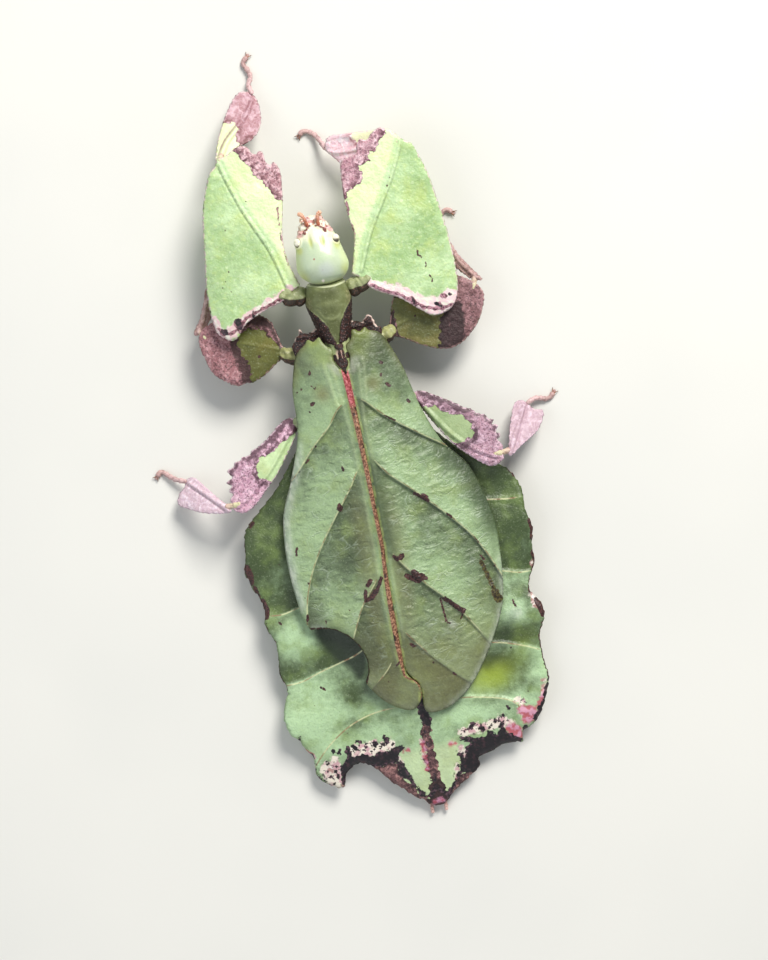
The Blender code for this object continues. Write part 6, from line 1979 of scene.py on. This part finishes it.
def make_legs():
    """Six legs, each with its own colours."""
    coxa_finishes = {
        pair: coxa_look(f"{pair}_coxa_cuticle", *colours) for pair, colours in COXA_COLOURS.items()}
    foot_finish = segment_look("foot_cuticle")
    knee_finish = segment_look("knee_cuticle")
    claw_finish = segment_look("claw_horn", 2.4)
    for number, (name, leg) in enumerate(LEGS.items()):
        pair = name.split("_")[0]
        colours = LEG_COLOURS[name]
        rim = RIM_COLOURS[pair]
        femur_finish = leaf_finish(
            f"femur_{name}_cuticle", colours["green"], colours["dead"],
            pebbles=0.8 if pair == "fore" else 0.0, rim=rim)
        tibia_finish = leaf_finish(
            f"tibia_{name}_cuticle", colours["shin"], colours["dead_shin"], flecks=0.3, rim=rim)
        make_coxa(name, leg, coxa_finishes[pair])
        make_lobe(name, leg, "femur", femur_finish, 100 + 10 * number)
        make_lobe(name, leg, "tibia", tibia_finish, 200 + 10 * number)
        make_knee(name, leg, knee_finish)
        make_foot(name, leg, foot_finish, claw_finish)


def make_body():
    """Head, thorax, wing covers, abdomen and cerci."""
    make_head(head_look())
    make_eyes(eye_look())
    make_antennae(segment_look("antenna_cuticle", 2.2))
    make_mouth(segment_look("mouth_cuticle"))
    shield_finish = shield_look("shield_cuticle", (102, 109, 64), (128, 136, 94))
    make_prothorax(shield_finish)
    make_mesothorax(shield_look("shoulder_cuticle", (140, 152, 100), (166, 172, 124)))
    make_metathorax(shield_finish)
    cover_finish = leaf_finish("cover_cuticle", *COVER_COLOURS, wrinkles=1.0)
    for name, cover in COVERS.items():
        make_cover(name, cover, cover_finish)
    make_abdomen(leaf_finish("abdomen_cuticle", *ABDOMEN_COLOURS, wrinkles=0.3))
    cercus_finish = segment_look("cercus_cuticle")
    for name, path in CERCI.items():
        points, faces, share = limb(path, segmented((0, 0.35, 0.7, 1), 0.26, 0.38), 0.06, 18)
        add_piece(name, points, faces, cercus_finish, (name,), {"share": share})


def make_studio():
    """A pale floor, soft lights, and a camera that looks straight down."""
    mesh = bpy.data.meshes.new("floor")
    signs = ((-1, -1), (1, -1), (1, 1), (-1, 1))
    mesh.from_pydata([(a * FLOOR_HALF, b * FLOOR_HALF, 0) for a, b in signs], [], [(0, 1, 2, 3)])
    look = Finish("floor_paper", 0.85, (222, 220, 214))
    look.on_noise(0.02, 2.0, 0.3, 0.7, 0.5, (214, 213, 208))
    look.relief(look.noise(1.2, 2.0), 0.01)
    mesh.materials.append(look.done())
    floor = bpy.data.objects.new("floor", mesh)
    bpy.context.scene.collection.objects.link(floor)

    world = bpy.data.worlds.new("studio")
    world.use_nodes = True
    sky = world.node_tree.nodes["Background"]
    sky.inputs["Color"].default_value = SKY_COLOUR
    sky.inputs["Strength"].default_value = SKY_STRENGTH
    bpy.context.scene.world = world
    bpy.context.scene.view_settings.view_transform = "Standard"
    for name, spot, width, power, colour in LIGHTS:
        light = bpy.data.lights.new(name, "AREA")
        light.size = width
        light.energy = power
        light.color = colour
        lamp = bpy.data.objects.new(name, light)
        lamp.location = spot
        lamp.rotation_mode = "QUATERNION"
        lamp.rotation_quaternion = (-Vector(spot)).to_track_quat("-Z", "Y")
        bpy.context.scene.collection.objects.link(lamp)

    view = bpy.data.cameras.new("camera")
    view.sensor_width = SENSOR
    view.lens = SENSOR * VIEW_HEIGHT / FRAME_HEIGHT
    view.clip_start, view.clip_end = 0.01, 10
    camera = bpy.data.objects.new("camera", view)
    right, up = Vector(FRAME_RIGHT), Vector(FRAME_UP)
    turn = Matrix((right, up, right.cross(up))).transposed()
    camera.matrix_world = Matrix.Translation(CAMERA_PLACE) @ turn.to_4x4()
    bpy.context.scene.collection.objects.link(camera)
    bpy.context.scene.camera = camera


make_studio()
make_body()
make_legs()
